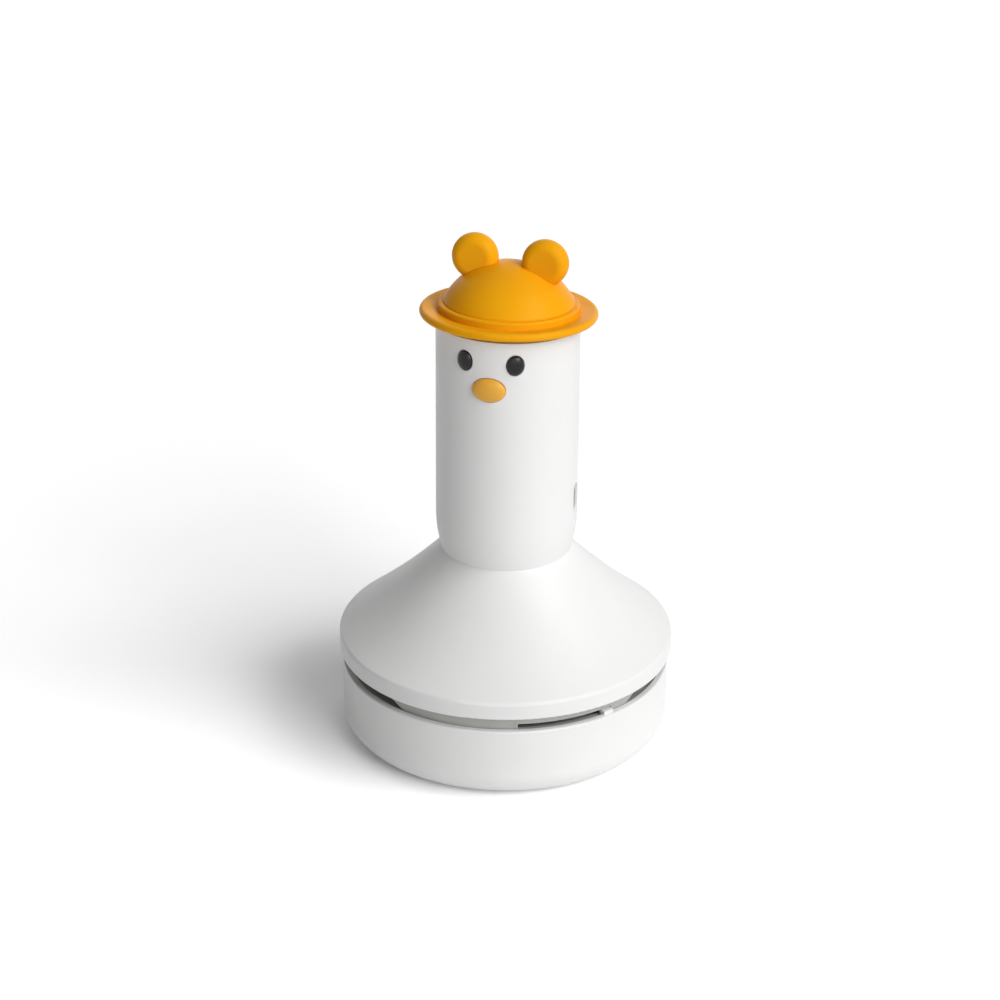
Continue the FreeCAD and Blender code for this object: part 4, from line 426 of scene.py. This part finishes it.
@dataclass(frozen=True)
class SolderMask:
    """Circuit board under green mask, with the relief of its copper tracks."""

    name: str
    colour: Colour
    track: Colour
    row: float = 9.6 * MM
    row_offset: float = 0.37
    row_squash: float = 2.2
    squash_every: int = 3
    gap: float = 0.045
    track_share: float = 0.85
    relief: float = 0.04 * MM
    weave: float = 0.4 * MM
    weave_dulling: float = 0.12
    roughness: float = 0.28
    coat: float = 0.3

    def material(self) -> bpy.types.Material:
        """Build the material."""
        shader = Shader(self.name)
        place = shader.place()
        upright = shader.node("ShaderNodeMapping", {}, {
            "Vector": place, "Rotation": (math.radians(90), 0.0, 0.0)})
        rows = {"offset": self.row_offset, "squash": self.row_squash, "squash_frequency": self.squash_every}
        grid = shader.node("ShaderNodeTexBrick", rows, {
            "Vector": upright, "Scale": 1.0 / self.row, "Mortar Size": self.gap, "Mortar Smooth": 0.1,
            "Brick Width": 0.9, "Row Height": 0.35}, "Fac")
        weave = shader.noise(place, self.weave)
        return shader.surface({
            "Base Color": shader.mix(grid * self.track_share, self.colour, self.track),
            "Roughness": self.roughness + weave * self.weave_dulling,
            "Coat Weight": self.coat,
            "Normal": shader.bump(grid * 0.8 + weave * 0.2, self.relief, strength=0.7),
        })


@dataclass(frozen=True)
class StudioFloor:
    """Pale floor that keeps the soft shadow and is clear from below.

    Camera, mirror and glass see it whiter than it is for the light that it throws back.
    """

    name: str = "studio_floor"
    shown: Colour = (1.4, 1.4, 1.4)
    bounced: Colour = (0.9, 0.9, 0.9)
    lift: float = 0.02

    def material(self) -> bpy.types.Material:
        """Build the material."""
        shader = Shader(self.name)
        seen = shader.node("ShaderNodeLightPath", output="Is Camera Ray")
        mirrored = shader.node("ShaderNodeLightPath", output="Is Glossy Ray")
        refracted = shader.node("ShaderNodeLightPath", output="Is Transmission Ray")
        shown = seen.larger(mirrored).larger(refracted)
        matt = shader.node("ShaderNodeBsdfDiffuse", {}, {"Color": (*self.shown, OPAQUE)})
        white = shader.node("ShaderNodeEmission", {}, {"Color": (*WHITE, OPAQUE), "Strength": self.lift})
        lit = shader.node("ShaderNodeAddShader", {}, {0: matt, 1: white})
        bounced = shader.node("ShaderNodeBsdfDiffuse", {}, {"Color": (*self.bounced, OPAQUE)})
        above = shader.node("ShaderNodeMixShader", {}, {0: shown, 1: bounced, 2: lit})
        under = shader.node("ShaderNodeNewGeometry", output="Backfacing")
        clear = shader.node("ShaderNodeBsdfTransparent", {})
        both = shader.node("ShaderNodeMixShader", {}, {0: under, 1: above, 2: clear})
        shader.tree.links.new(both.socket, shader.output.inputs["Surface"])
        return shader.material


class GeometryTree:
    """A Geometry Nodes tree with named sizes, turned into a plain mesh once it is built."""

    def __init__(self, name: str) -> None:
        """Start an empty tree of that name."""
        self.name = name
        self.tree = bpy.data.node_groups.new(name, "GeometryNodeTree")
        self.entry = self.tree.nodes.new("NodeGroupInput")
        self.exit = self.tree.nodes.new("NodeGroupOutput")
        self.tree.interface.new_socket("Mesh", in_out="OUTPUT", socket_type="NodeSocketGeometry")
        self.given: dict[str, float | int] = {}

    def size(self, name: str, number: float | int) -> bpy.types.NodeSocket:
        """Add a named input.

        Args:
            name: The input's name.
            number: Its value: a float is a size, an int a count.

        Returns:
            The socket that carries it.
        """
        kind = "NodeSocketInt" if isinstance(number, int) else "NodeSocketFloat"
        item = self.tree.interface.new_socket(name, in_out="INPUT", socket_type=kind)
        self.given[item.identifier] = number
        return self.entry.outputs[name]

    def node(self, kind: str, settings: Mapping[str, Any] | None = None,
             inputs: Mapping[str | int, Any] | None = None, output: str | int = 0) -> bpy.types.NodeSocket:
        """Add one node.

        Args:
            kind: The node's type.
            settings: Its properties, set before its sockets.
            inputs: Numbers, tuples, sockets or a list of sockets, by name or place.
            output: The socket that is returned.

        Returns:
            The chosen output socket.
        """
        node = self.tree.nodes.new(kind)
        for key, setting in (settings or {}).items():
            setattr(node, key, setting)
        for key, given in (inputs or {}).items():
            for item in given if isinstance(given, list) else [given]:
                if isinstance(item, bpy.types.NodeSocket):
                    self.tree.links.new(item, node.inputs[key])
                else:
                    node.inputs[key].default_value = item
        return node.outputs[output]

    def maths(self, operation: str, first: Any, second: Any = 0.0) -> bpy.types.NodeSocket:
        """Add a Math node."""
        return self.node("ShaderNodeMath", {"operation": operation}, {0: first, 1: second})

    def vector(self, x: Any = 0.0, y: Any = 0.0, z: Any = 0.0) -> bpy.types.NodeSocket:
        """Join three numbers into a vector."""
        return self.node("ShaderNodeCombineXYZ", {}, {0: x, 1: y, 2: z})

    def moved(self, shape: Any, offset: Any, turn: Any = STILL) -> bpy.types.NodeSocket:
        """Move a shape, and turn it where an angle is given."""
        return self.node("GeometryNodeTransform", {}, {
            "Geometry": shape, "Translation": offset, "Rotation": turn})

    def instances(self, points: Any, shape: Any, turn: Any = STILL) -> bpy.types.NodeSocket:
        """Put a shape on each point."""
        return self.node("GeometryNodeInstanceOnPoints", {}, {
            "Points": points, "Instance": shape, "Rotation": turn})

    def joined(self, shapes: list[bpy.types.NodeSocket]) -> bpy.types.NodeSocket:
        """Join shapes into one."""
        return self.node("GeometryNodeJoinGeometry", {}, {0: shapes})

    def realized(self, shapes: bpy.types.NodeSocket) -> bpy.types.NodeSocket:
        """Turn instances into real geometry."""
        return self.node("GeometryNodeRealizeInstances", {}, {"Geometry": shapes})

    def wires(self, paths: Any, radius: Any, sides: int = 5) -> bpy.types.NodeSocket:
        """Sweep a round wire along curves."""
        ring = self.node("GeometryNodeCurvePrimitiveCircle", {"mode": "RADIUS"},
                         {"Resolution": sides, "Radius": radius}, "Curve")
        return self.node("GeometryNodeCurveToMesh", {}, {
            "Curve": paths, "Profile Curve": ring, "Fill Caps": True})

    def made(self, shape: bpy.types.NodeSocket, material: bpy.types.Material) -> bpy.types.Object:
        """End the tree and turn its result into a plain mesh.

        Args:
            shape: The socket with the finished geometry.
            material: The material of the whole result.

        Returns:
            The new object, at the origin.
        """
        painted = self.node("GeometryNodeSetMaterial", {}, {
            "Geometry": self.realized(shape), "Material": material})
        self.tree.links.new(painted, self.exit.inputs[0])
        carrier = bpy.data.objects.new(self.name, bpy.data.meshes.new(self.name + "_seed"))
        bpy.context.scene.collection.objects.link(carrier)
        modifier = carrier.modifiers.new(self.name, "NODES")
        modifier.node_group = self.tree
        for identifier, number in self.given.items():
            modifier[identifier] = number
        bpy.context.view_layer.update()
        evaluated = carrier.evaluated_get(bpy.context.evaluated_depsgraph_get())
        mesh = bpy.data.meshes.new_from_object(evaluated)
        mesh.name = self.name
        carrier.modifiers.remove(modifier)
        carrier.data = mesh
        return carrier


@dataclass
class SubAssembly:
    """A group of the model's nodes with the pieces that dress them."""

    nodes: Mapping[str, bpy.types.Object]
    paints: Mapping[str, bpy.types.Material]
    finishes: Mapping[str, str] = field(default_factory=dict)

    def paint(self) -> None:
        """Give each of the group's nodes its material."""
        for node, finish in self.finishes.items():
            for slot in self.nodes[node].material_slots:
                slot.material = self.paints[finish]

    def add(self, piece: bpy.types.Object, body: Body, slot: str, instead: Iterable[str] = ()) -> None:
        """Hand a finished piece to the frame.

        Args:
            piece: The piece, at the origin.
            body: The body that carries it.
            slot: Not used.
            instead: The nodes that it stands for.
        """
        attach(piece, body.value)
        for node in instead:
            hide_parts(node)
        LOG.info("%s: %d faces on %s", piece.name, len(piece.data.polygons), body.value)

    def build(self) -> None:
        """Dress the group. A group with pieces of its own adds them here."""
        self.paint()


@dataclass
class DustTray(SubAssembly):
    """The tray, its feet, the suction duct and the bristles round its mouth."""

    tufts: int = 24
    tuft_circle: float = 15.2 * MM
    tuft_radius: float = 0.72 * MM
    tuft_tip: float = 0.27 * MM
    tuft_root: float = 1.98 * MM
    tuft_sides: int = 16
    filaments: int = 26
    filament_radius: float = 0.07 * MM
    filament_taper: float = 0.6
    filament_sides: int = 6
    splay: float = math.radians(5)
    place_seed: int = 7
    lean_seed: int = 3

    def bristles(self) -> bpy.types.Object:
        """Fine filaments, gathered in tufts on a ring."""
        tree = GeometryTree("bristle_filaments")
        radius = tree.size("Tuft radius", self.tuft_radius)
        root = tree.size("Root height", self.tuft_root)
        length = tree.maths("SUBTRACT", root, tree.size("Tip height", self.tuft_tip))
        ring = tree.node("GeometryNodeMeshCircle", {"fill_type": "NONE"}, {
            "Vertices": tree.size("Tufts", self.tufts),
            "Radius": tree.size("Ring radius", self.tuft_circle)})
        bundle = tree.node("GeometryNodeMeshCircle", {"fill_type": "NGON"}, {
            "Vertices": self.tuft_sides, "Radius": radius})
        bundles = tree.realized(tree.instances(ring, bundle))
        area = tree.maths("MULTIPLY", tree.maths("POWER", radius, 2.0), math.pi)
        density = tree.maths("DIVIDE", tree.size("Filaments", self.filaments), area)
        points = tree.node("GeometryNodeDistributePointsOnFaces", {}, {
            "Mesh": bundles, "Density": density, "Seed": self.place_seed}, "Points")
        thick = tree.size("Filament radius", self.filament_radius)
        thin = tree.maths("MULTIPLY", thick, self.filament_taper)
        hair = tree.node("GeometryNodeMeshCone", {"fill_type": "NGON"}, {
            "Vertices": self.filament_sides, "Radius Top": thick, "Radius Bottom": thin,
            "Depth": length}, "Mesh")
        hanging = tree.moved(hair, tree.vector(z=tree.maths("MULTIPLY", length, -1.0)))
        lean = tree.size("Splay", self.splay)
        back = tree.maths("MULTIPLY", lean, -1.0)
        tilt = tree.node("FunctionNodeRandomValue", {"data_type": "FLOAT_VECTOR"}, {
            0: tree.vector(back, back), 1: tree.vector(lean, lean, math.tau), "Seed": self.lean_seed})
        tufts = tree.instances(points, hanging, tilt)
        return tree.made(tree.moved(tufts, tree.vector(z=root)), self.paints["bristle_nylon"])

    def build(self) -> None:
        """Paint the tray and add its bristles."""
        self.paint()
        self.add(self.bristles(), Body.TRAY, "bristle_nylon", ["duct_bristles"])


@dataclass
class VentRing(SubAssembly):
    """The ring in the gap, with the net and the foam behind its windows, the filter and the casing."""

    net_middle: float = math.radians(14)
    net_top_half: float = math.radians(27)
    net_foot_half: float = math.radians(31)
    net_radius: float = 42.2 * MM
    net_low: float = 21.2 * MM
    net_high: float = 28.7 * MM
    net_rows: int = 11
    net_columns: int = 64
    net_wire: float = 0.15 * MM
    net_wire_sides: int = 4
    frame_wire: float = 0.42 * MM
    frame_wire_sides: int = 6
    foam_middle: float = 38.75 * MM
    foam_width: float = 4.4 * MM
    foam_low: float = 21.05 * MM
    foam_high: float = 27.95 * MM
    foam_rough: float = 0.16 * MM
    foam_grain: float = 1100.0
    foam_points: int = 420
    foam_edge_points: int = 40

    def net(self) -> bpy.types.Object:
        """Moulded net in a frame, that keeps fluff and fingers out of the two windows.

        A flat grid, from -1 to 1 across and 0 to 1 up, is bent round the ring. Its ends slant.
        """
        tree = GeometryTree("window_net")
        low = tree.size("Lower edge", self.net_low)
        height = tree.maths("SUBTRACT", tree.size("Upper edge", self.net_high), low)
        foot = tree.size("Half angle at the foot", self.net_foot_half)
        top = tree.size("Half angle at the top", self.net_top_half)
        middle = tree.size("Middle", self.net_middle)
        radius = tree.size("Radius", self.net_radius)
        grid = tree.node("GeometryNodeMeshGrid", {}, {
            "Size X": 2.0, "Size Y": 1.0, "Vertices X": tree.size("Columns", self.net_columns),
            "Vertices Y": tree.size("Rows", self.net_rows)})
        place = tree.node("GeometryNodeInputPosition", {})
        across = tree.node("ShaderNodeSeparateXYZ", {}, {0: place}, "X")
        rise = tree.maths("ADD", tree.node("ShaderNodeSeparateXYZ", {}, {0: place}, "Y"), HALF)
        lean = tree.maths("MULTIPLY", tree.maths("SUBTRACT", top, foot), rise)
        angle = tree.maths("ADD", middle, tree.maths("MULTIPLY", across, tree.maths("ADD", foot, lean)))
        bent = tree.vector(tree.maths("MULTIPLY", radius, tree.maths("COSINE", angle)),
                           tree.maths("MULTIPLY", radius, tree.maths("SINE", angle)),
                           tree.maths("ADD", low, tree.maths("MULTIPLY", height, rise)))
        panel = tree.node("GeometryNodeSetPosition", {}, {"Geometry": grid, "Position": bent})
        faces_beside = tree.node("GeometryNodeInputMeshEdgeNeighbors", {})
        rim = tree.node("FunctionNodeCompare", {"data_type": "INT", "operation": "EQUAL"},
                        {2: faces_beside, 3: 1})
        border = tree.node("GeometryNodeMeshToCurve", {}, {"Mesh": panel, "Selection": rim})
        threads = tree.node("GeometryNodeMeshToCurve", {}, {"Mesh": panel})
        one = tree.joined([
            tree.wires(threads, tree.size("Wire radius", self.net_wire), self.net_wire_sides),
            tree.wires(border, tree.size("Frame radius", self.frame_wire), self.frame_wire_sides)])
        other = tree.moved(one, STILL, (0.0, 0.0, math.pi))
        return tree.made(tree.joined([one, other]), self.paints["net_grey"])

    def foam(self) -> bpy.types.Object:
        """Foam ring with an uneven, open surface."""
        tree = GeometryTree("foam_ring")
        low = tree.size("Lower face", self.foam_low)
        height = tree.maths("SUBTRACT", tree.size("Upper face", self.foam_high), low)
        path = tree.node("GeometryNodeCurvePrimitiveCircle", {"mode": "RADIUS"}, {
            "Resolution": self.foam_points,
            "Radius": tree.size("Middle radius", self.foam_middle)}, "Curve")
        section = tree.node("GeometryNodeCurvePrimitiveQuadrilateral", {"mode": "RECTANGLE"}, {
            "Width": tree.size("Width", self.foam_width), "Height": height})
        even = tree.node("GeometryNodeResampleCurve", {}, {
            "Curve": section, "Count": self.foam_edge_points})
        band = tree.node("GeometryNodeCurveToMesh", {}, {"Curve": path, "Profile Curve": even})
        noise = tree.node("ShaderNodeTexNoise", {}, {"Scale": self.foam_grain, "Detail": 2.0})
        depth = tree.maths("MULTIPLY", noise, tree.size("Roughness", self.foam_rough))
        inward = tree.maths("MULTIPLY", depth, -1.0)
        normal = tree.node("GeometryNodeInputNormal", {})
        sunk = tree.node("ShaderNodeVectorMath", {"operation": "SCALE"}, {0: normal, "Scale": inward})
        rough = tree.node("GeometryNodeSetPosition", {}, {"Geometry": band, "Offset": sunk})
        middle = tree.maths("ADD", low, tree.maths("MULTIPLY", height, HALF))
        return tree.made(tree.moved(rough, tree.vector(z=middle)), self.paints["foam_grey"])

    def build(self) -> None:
        """Paint the ring and add the net and the foam."""
        self.paint()
        self.add(self.net(), Body.HOUSING, "inner_grey")
        foam = self.foam()
        self.add(foam, Body.HOUSING, "foam_grey", ["exhaust_foam"])


@dataclass
class FanMotor(SubAssembly):
    """Motor and impeller, with the wound ends of the armature."""

    turns: int = 54
    inner: float = 4.3 * MM
    outer: float = 7.5 * MM
    arch: float = 1.5 * MM
    core_low: float = 49.0 * MM
    core_high: float = 61.0 * MM
    wire: float = 0.2 * MM
    loop_points: int = 8

    def windings(self) -> bpy.types.Object:
        """Copper wires that arch over both ends of the armature's core.

        An arch rises to half the height of its curve's middle point.
        """
        tree = GeometryTree("armature_windings")
        inner = tree.size("Inner radius", self.inner)
        outer = tree.size("Outer radius", self.outer)
        arch = tree.size("Arch height", self.arch)
        middle = tree.maths("MULTIPLY", tree.maths("ADD", inner, outer), HALF)
        loop = tree.node("GeometryNodeCurveQuadraticBezier", {}, {
            "Resolution": self.loop_points, "Start": tree.vector(x=inner),
            "Middle": tree.vector(x=middle, z=tree.maths("MULTIPLY", arch, 2.0)),
            "End": tree.vector(x=outer)})
        hub = tree.node("GeometryNodeMeshCircle", {"fill_type": "NONE"}, {
            "Vertices": tree.size("Turns", self.turns), "Radius": 0.0})
        order = tree.node("GeometryNodeInputIndex", {})
        angle = tree.maths("DIVIDE", tree.maths("MULTIPLY", order, math.tau), tree.entry.outputs["Turns"])
        spread = tree.instances(hub, loop, tree.vector(z=angle))
        wires = tree.wires(tree.realized(spread), tree.size("Wire radius", self.wire))
        top = tree.moved(wires, tree.vector(z=tree.size("Core top", self.core_high)))
        under = tree.moved(wires, tree.vector(z=tree.size("Core foot", self.core_low)), (math.pi, 0.0, 0.0))
        return tree.made(tree.joined([top, under]), self.paints["winding"])

    def build(self) -> None:
        """Paint the motor and add its windings."""
        self.paint()
        self.add(self.windings(), Body.ROTOR, "winding")


@dataclass
class Electronics(SubAssembly):
    """Board, cell, socket and switch, with the solder on the board's back."""

    joint_columns: int = 9
    joint_rows: int = 5
    joint_radius: float = 0.42 * MM
    joint_width: float = 23 * MM
    joint_height: float = 9 * MM
    joint_middle: float = 112 * MM
    board_back: float = 3.28 * MM
    dome_segments: int = 10
    dome_rings: int = 6
    dome_flatness: float = 0.55

    def solder(self) -> bpy.types.Object:
        """Rows of small solder domes on the board's back."""
        tree = GeometryTree("solder_joints")
        radius = tree.size("Joint radius", self.joint_radius)
        grid = tree.node("GeometryNodeMeshGrid", {}, {
            "Size X": tree.size("Width", self.joint_width),
            "Size Y": tree.size("Height", self.joint_height),
            "Vertices X": tree.size("Columns", self.joint_columns),
            "Vertices Y": tree.size("Rows", self.joint_rows)})
        dome = tree.node("GeometryNodeMeshUVSphere", {}, {
            "Segments": self.dome_segments, "Rings": self.dome_rings, "Radius": radius})
        flat = tree.node("GeometryNodeTransform", {}, {
            "Geometry": dome, "Scale": (1.0, 1.0, self.dome_flatness)})
        joints = tree.instances(grid, flat)
        place = tree.vector(y=self.board_back, z=tree.size("Middle height", self.joint_middle))
        return tree.made(tree.moved(joints, place, (math.radians(90), 0.0, 0.0)), self.paints["solder"])

    def build(self) -> None:
        """Paint the electronics and add the solder."""
        self.paint()
        self.add(self.solder(), Body.HOUSING, "contact_steel")


@dataclass(frozen=True)
class SoftLight:
    """A broad, far lamp. Its side is counted from the camera's, to the right."""

    name: str
    side: float
    height: float
    spread: float
    level: float

    def hang(self, camera_side: float) -> None:
        """Hang the lamp.

        Args:
            camera_side: The camera's turn from the face, in radians.
        """
        turn = camera_side + math.radians(self.side)
        rise = math.radians(self.height)
        toward = Vector((math.sin(turn) * math.cos(rise), -math.cos(turn) * math.cos(rise), math.sin(rise)))
        data = bpy.data.lights.new(self.name, "SUN")
        data.energy = self.level * math.pi
        data.angle = math.radians(self.spread)
        lamp = bpy.data.objects.new(self.name, data)
        lamp.rotation_euler = toward.to_track_quat("Z", "Y").to_euler()
        bpy.context.scene.collection.objects.link(lamp)


@dataclass
class Studio:
    """Floor, world, lamps and the camera at the photograph's place."""

    lights: tuple[SoftLight, ...] = (
        SoftLight("key_light_low", side=35.0, height=30.0, spread=30.0, level=0.327),
        SoftLight("key_light_side", side=65.0, height=38.0, spread=30.0, level=0.267),
        SoftLight("key_light_high", side=75.0, height=54.0, spread=30.0, level=0.183),
        SoftLight("fill_light", side=20.0, height=10.0, spread=90.0, level=0.363),
        SoftLight("back_light", side=180.0, height=45.0, spread=90.0, level=0.219),
    )
    floor_width: float = 8.0
    ambient: float = 0.0
    camera_distance: float = 900 * MM
    camera_height: float = math.radians(25.2)
    camera_side: float = math.radians(15.0)
    camera_roll: float = math.radians(0.44)
    aim_height: float = 73.0 * MM
    aim_side: float = -1.91 * MM
    lens: float = 111.6
    sensor_width: float = 36.0

    def floor(self) -> None:
        """Lay the floor."""
        half = self.floor_width / 2
        mesh = bpy.data.meshes.new("studio_floor")
        mesh.from_pydata([(-half, -half, 0), (half, -half, 0), (half, half, 0), (-half, half, 0)], [],
                         [(0, 1, 2, 3)])
        mesh.materials.append(StudioFloor().material())
        floor = bpy.data.objects.new("studio_floor", mesh)
        bpy.context.scene.collection.objects.link(floor)

    def world(self) -> None:
        """Set a surrounding that camera, mirror and glass see white, and that lights nothing."""
        world = bpy.data.worlds.new("studio_world")
        world.use_nodes = True
        nodes = world.node_tree.nodes
        links = world.node_tree.links
        nodes.clear()
        path = nodes.new("ShaderNodeLightPath")
        first = nodes.new("ShaderNodeMath")
        first.operation = "MAXIMUM"
        shown = nodes.new("ShaderNodeMath")
        shown.operation = "MAXIMUM"
        strength = nodes.new("ShaderNodeMapRange")
        strength.inputs["To Min"].default_value = self.ambient
        background = nodes.new("ShaderNodeBackground")
        background.inputs["Color"].default_value = (*WHITE, OPAQUE)
        output = nodes.new("ShaderNodeOutputWorld")
        links.new(path.outputs["Is Camera Ray"], first.inputs[0])
        links.new(path.outputs["Is Glossy Ray"], first.inputs[1])
        links.new(first.outputs[0], shown.inputs[0])
        links.new(path.outputs["Is Transmission Ray"], shown.inputs[1])
        links.new(shown.outputs[0], strength.inputs["Value"])
        links.new(strength.outputs[0], background.inputs["Strength"])
        links.new(background.outputs[0], output.inputs["Surface"])
        bpy.context.scene.world = world

    def camera(self) -> None:
        """Set the camera where the photograph was taken from."""
        side, height = self.camera_side, self.camera_height
        back = Vector((math.sin(side) * math.cos(height), -math.cos(side) * math.cos(height),
                       math.sin(height)))
        aim = Vector((self.aim_side * math.cos(side), self.aim_side * math.sin(side), self.aim_height))
        data = bpy.data.cameras.new("photo_camera")
        data.sensor_width = self.sensor_width
        data.lens = self.lens
        camera = bpy.data.objects.new("photo_camera", data)
        turn = (-back).to_track_quat("-Z", "Y").to_matrix() @ Matrix.Rotation(self.camera_roll, 3, "Z")
        camera.matrix_world = Matrix.Translation(aim + back * self.camera_distance) @ turn.to_4x4()
        bpy.context.scene.collection.objects.link(camera)
        bpy.context.scene.camera = camera

    def build(self) -> None:
        """Set up the whole studio."""
        self.floor()
        self.world()
        for light in self.lights:
            light.hang(self.camera_side)
        self.camera()
        bpy.context.scene.view_settings.view_transform = "Standard"


def finishes() -> dict[str, bpy.types.Material]:
    """Build every finish once.

    Returns:
        The materials by finish name.
    """
    made = [
        MouldedPlastic("white_shell", (0.84, 0.84, 0.835), (0.815, 0.815, 0.81), 0.42, gloss=0.3),
        # The vent ring is white plastic. Its colour here is darkened to a warm grey as painted shade of the
        # gap under the cone's lower edge.
        MouldedPlastic("ring_white_painted_shade", (0.50, 0.50, 0.475), (0.45, 0.45, 0.425), 0.44, gloss=0.2),
        MouldedPlastic("inner_grey", (0.52, 0.53, 0.54), (0.46, 0.47, 0.48), 0.45),
        MouldedPlastic("inner_black", (0.035, 0.035, 0.038), (0.05, 0.05, 0.052), 0.48),
        MouldedPlastic("net_grey", (0.30, 0.30, 0.28), (0.22, 0.22, 0.205), 0.5, gloss=0.3),
        MouldedPlastic("hat_orange", (0.93, 0.42, 0.006), (0.87, 0.355, 0.005), 0.34, gloss=0.045),
        MouldedPlastic("beak_orange", (0.83, 0.42, 0.05), (0.78, 0.38, 0.04), 0.36, gloss=0.3),
        MouldedPlastic("eye_black", (0.010, 0.010, 0.012), (0.016, 0.016, 0.018), 0.24, gloss=0.3),
        MouldedPlastic("cell_sleeve", (0.05, 0.16, 0.42), (0.04, 0.13, 0.36), 0.25, coat=0.5),
        MouldedPlastic("lead_red", (0.5, 0.03, 0.02), (0.42, 0.03, 0.02), 0.4),
        MouldedPlastic("bristle_nylon", (0.06, 0.06, 0.065), (0.1, 0.1, 0.1), 0.4),
        SoftRubber("foot_rubber", (0.035, 0.035, 0.036), (0.12, 0.12, 0.12)),
        SoftRubber("seal_rubber", (0.06, 0.06, 0.062), (0.14, 0.14, 0.14)),
        # The foam's own dark grey is taken down to near black: partly its colour, partly painted shade
        # inside the ring behind the windows.
        OpenFoam("foam_grey", (0.03, 0.03, 0.032), (0.008, 0.008, 0.009)),
        PressedCloth("filter_cloth", (0.8, 0.79, 0.75), (0.5, 0.48, 0.44)),
        SolderMask("board_green", (0.012, 0.12, 0.045), (0.03, 0.25, 0.09)),
        WorkedMetal("screw_steel", (0.55, 0.55, 0.56), (0.34, 0.33, 0.31), 0.3, Direction.ROUND),
        WorkedMetal("can_steel", (0.62, 0.62, 0.63), (0.45, 0.44, 0.42), 0.28, Direction.UPRIGHT),
        WorkedMetal("shaft_steel", (0.66, 0.66, 0.67), (0.5, 0.49, 0.47), 0.18, Direction.ROUND),
        WorkedMetal("spring_steel", (0.58, 0.58, 0.59), (0.4, 0.38, 0.35), 0.26),
        WorkedMetal("contact_steel", (0.72, 0.7, 0.66), (0.5, 0.46, 0.4), 0.22),
        WorkedMetal("terminal_brass", (0.78, 0.6, 0.28), (0.5, 0.36, 0.16), 0.25),
        WorkedMetal("solder", (0.7, 0.71, 0.72), (0.5, 0.5, 0.51), 0.2),
        WorkedMetal("winding", (0.72, 0.3, 0.12), (0.45, 0.17, 0.07), 0.25, Direction.UPRIGHT),
        WorkedMetal("magnet", (0.13, 0.13, 0.135), (0.08, 0.08, 0.08), 0.55),
    ]
    return {finish.name: finish.material() for finish in made}


def main() -> None:
    """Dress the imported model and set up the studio."""
    logging.basicConfig(level=logging.INFO, format="%(message)s")
    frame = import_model()
    nodes = frame["nodes"]
    paints = finishes()
    groups = [
        DustTray(nodes, paints, {
            "dust_tray": "white_shell", "base_feet": "foot_rubber", "inlet_duct": "inner_grey",
            "duct_hood": "inner_grey", "duct_bristles": "bristle_nylon"}),
        VentRing(nodes, paints, {
            "vent_ring": "ring_white_painted_shade", "tray_seal": "seal_rubber", "exhaust_foam": "foam_grey",
            "ring_screws": "screw_steel", "filter_frame": "inner_grey", "filter_media": "filter_cloth",
            "cone_shell": "white_shell"}),
        FanMotor(nodes, paints, {
            "fan_cup": "inner_grey", "cup_screws": "screw_steel", "motor_mount": "inner_grey",
            "mount_screws": "screw_steel", "motor_screws": "screw_steel", "motor_can": "can_steel",
            "motor_magnets": "magnet", "motor_end_cap": "inner_black",
            "motor_terminals": "terminal_brass", "motor_leads": "lead_red",
            "motor_shaft": "shaft_steel", "motor_armature": "can_steel", "impeller": "inner_black"}),
        Electronics(nodes, paints, {
            "usb_socket": "contact_steel", "circuit_board": "board_green", "board_screws": "screw_steel",
            "board_components": "inner_black", "battery_cell": "cell_sleeve",
            "battery_contact_top": "contact_steel", "battery_contact_bottom": "contact_steel",
            "battery_cradle": "inner_black", "battery_spring": "spring_steel",
            "power_switch": "inner_black", "switch_screws": "screw_steel"}),
        SubAssembly(nodes, paints, {
            "handle_tube": "white_shell", "eye_left": "eye_black", "eye_right": "eye_black",
            "beak": "beak_orange", "neck_screws": "screw_steel", "top_cap": "white_shell",
            "cap_screws": "screw_steel"}),
        SubAssembly(nodes, paints, {
            "hat_shell": "hat_orange", "ear_left": "hat_orange", "ear_right": "hat_orange",
            "hat_stem": "hat_orange", "switch_plunger": "inner_grey", "hat_spring": "spring_steel"}),
    ]
    for group in groups:
        group.build()
    Studio().build()


if __name__ == "__main__":
    main()
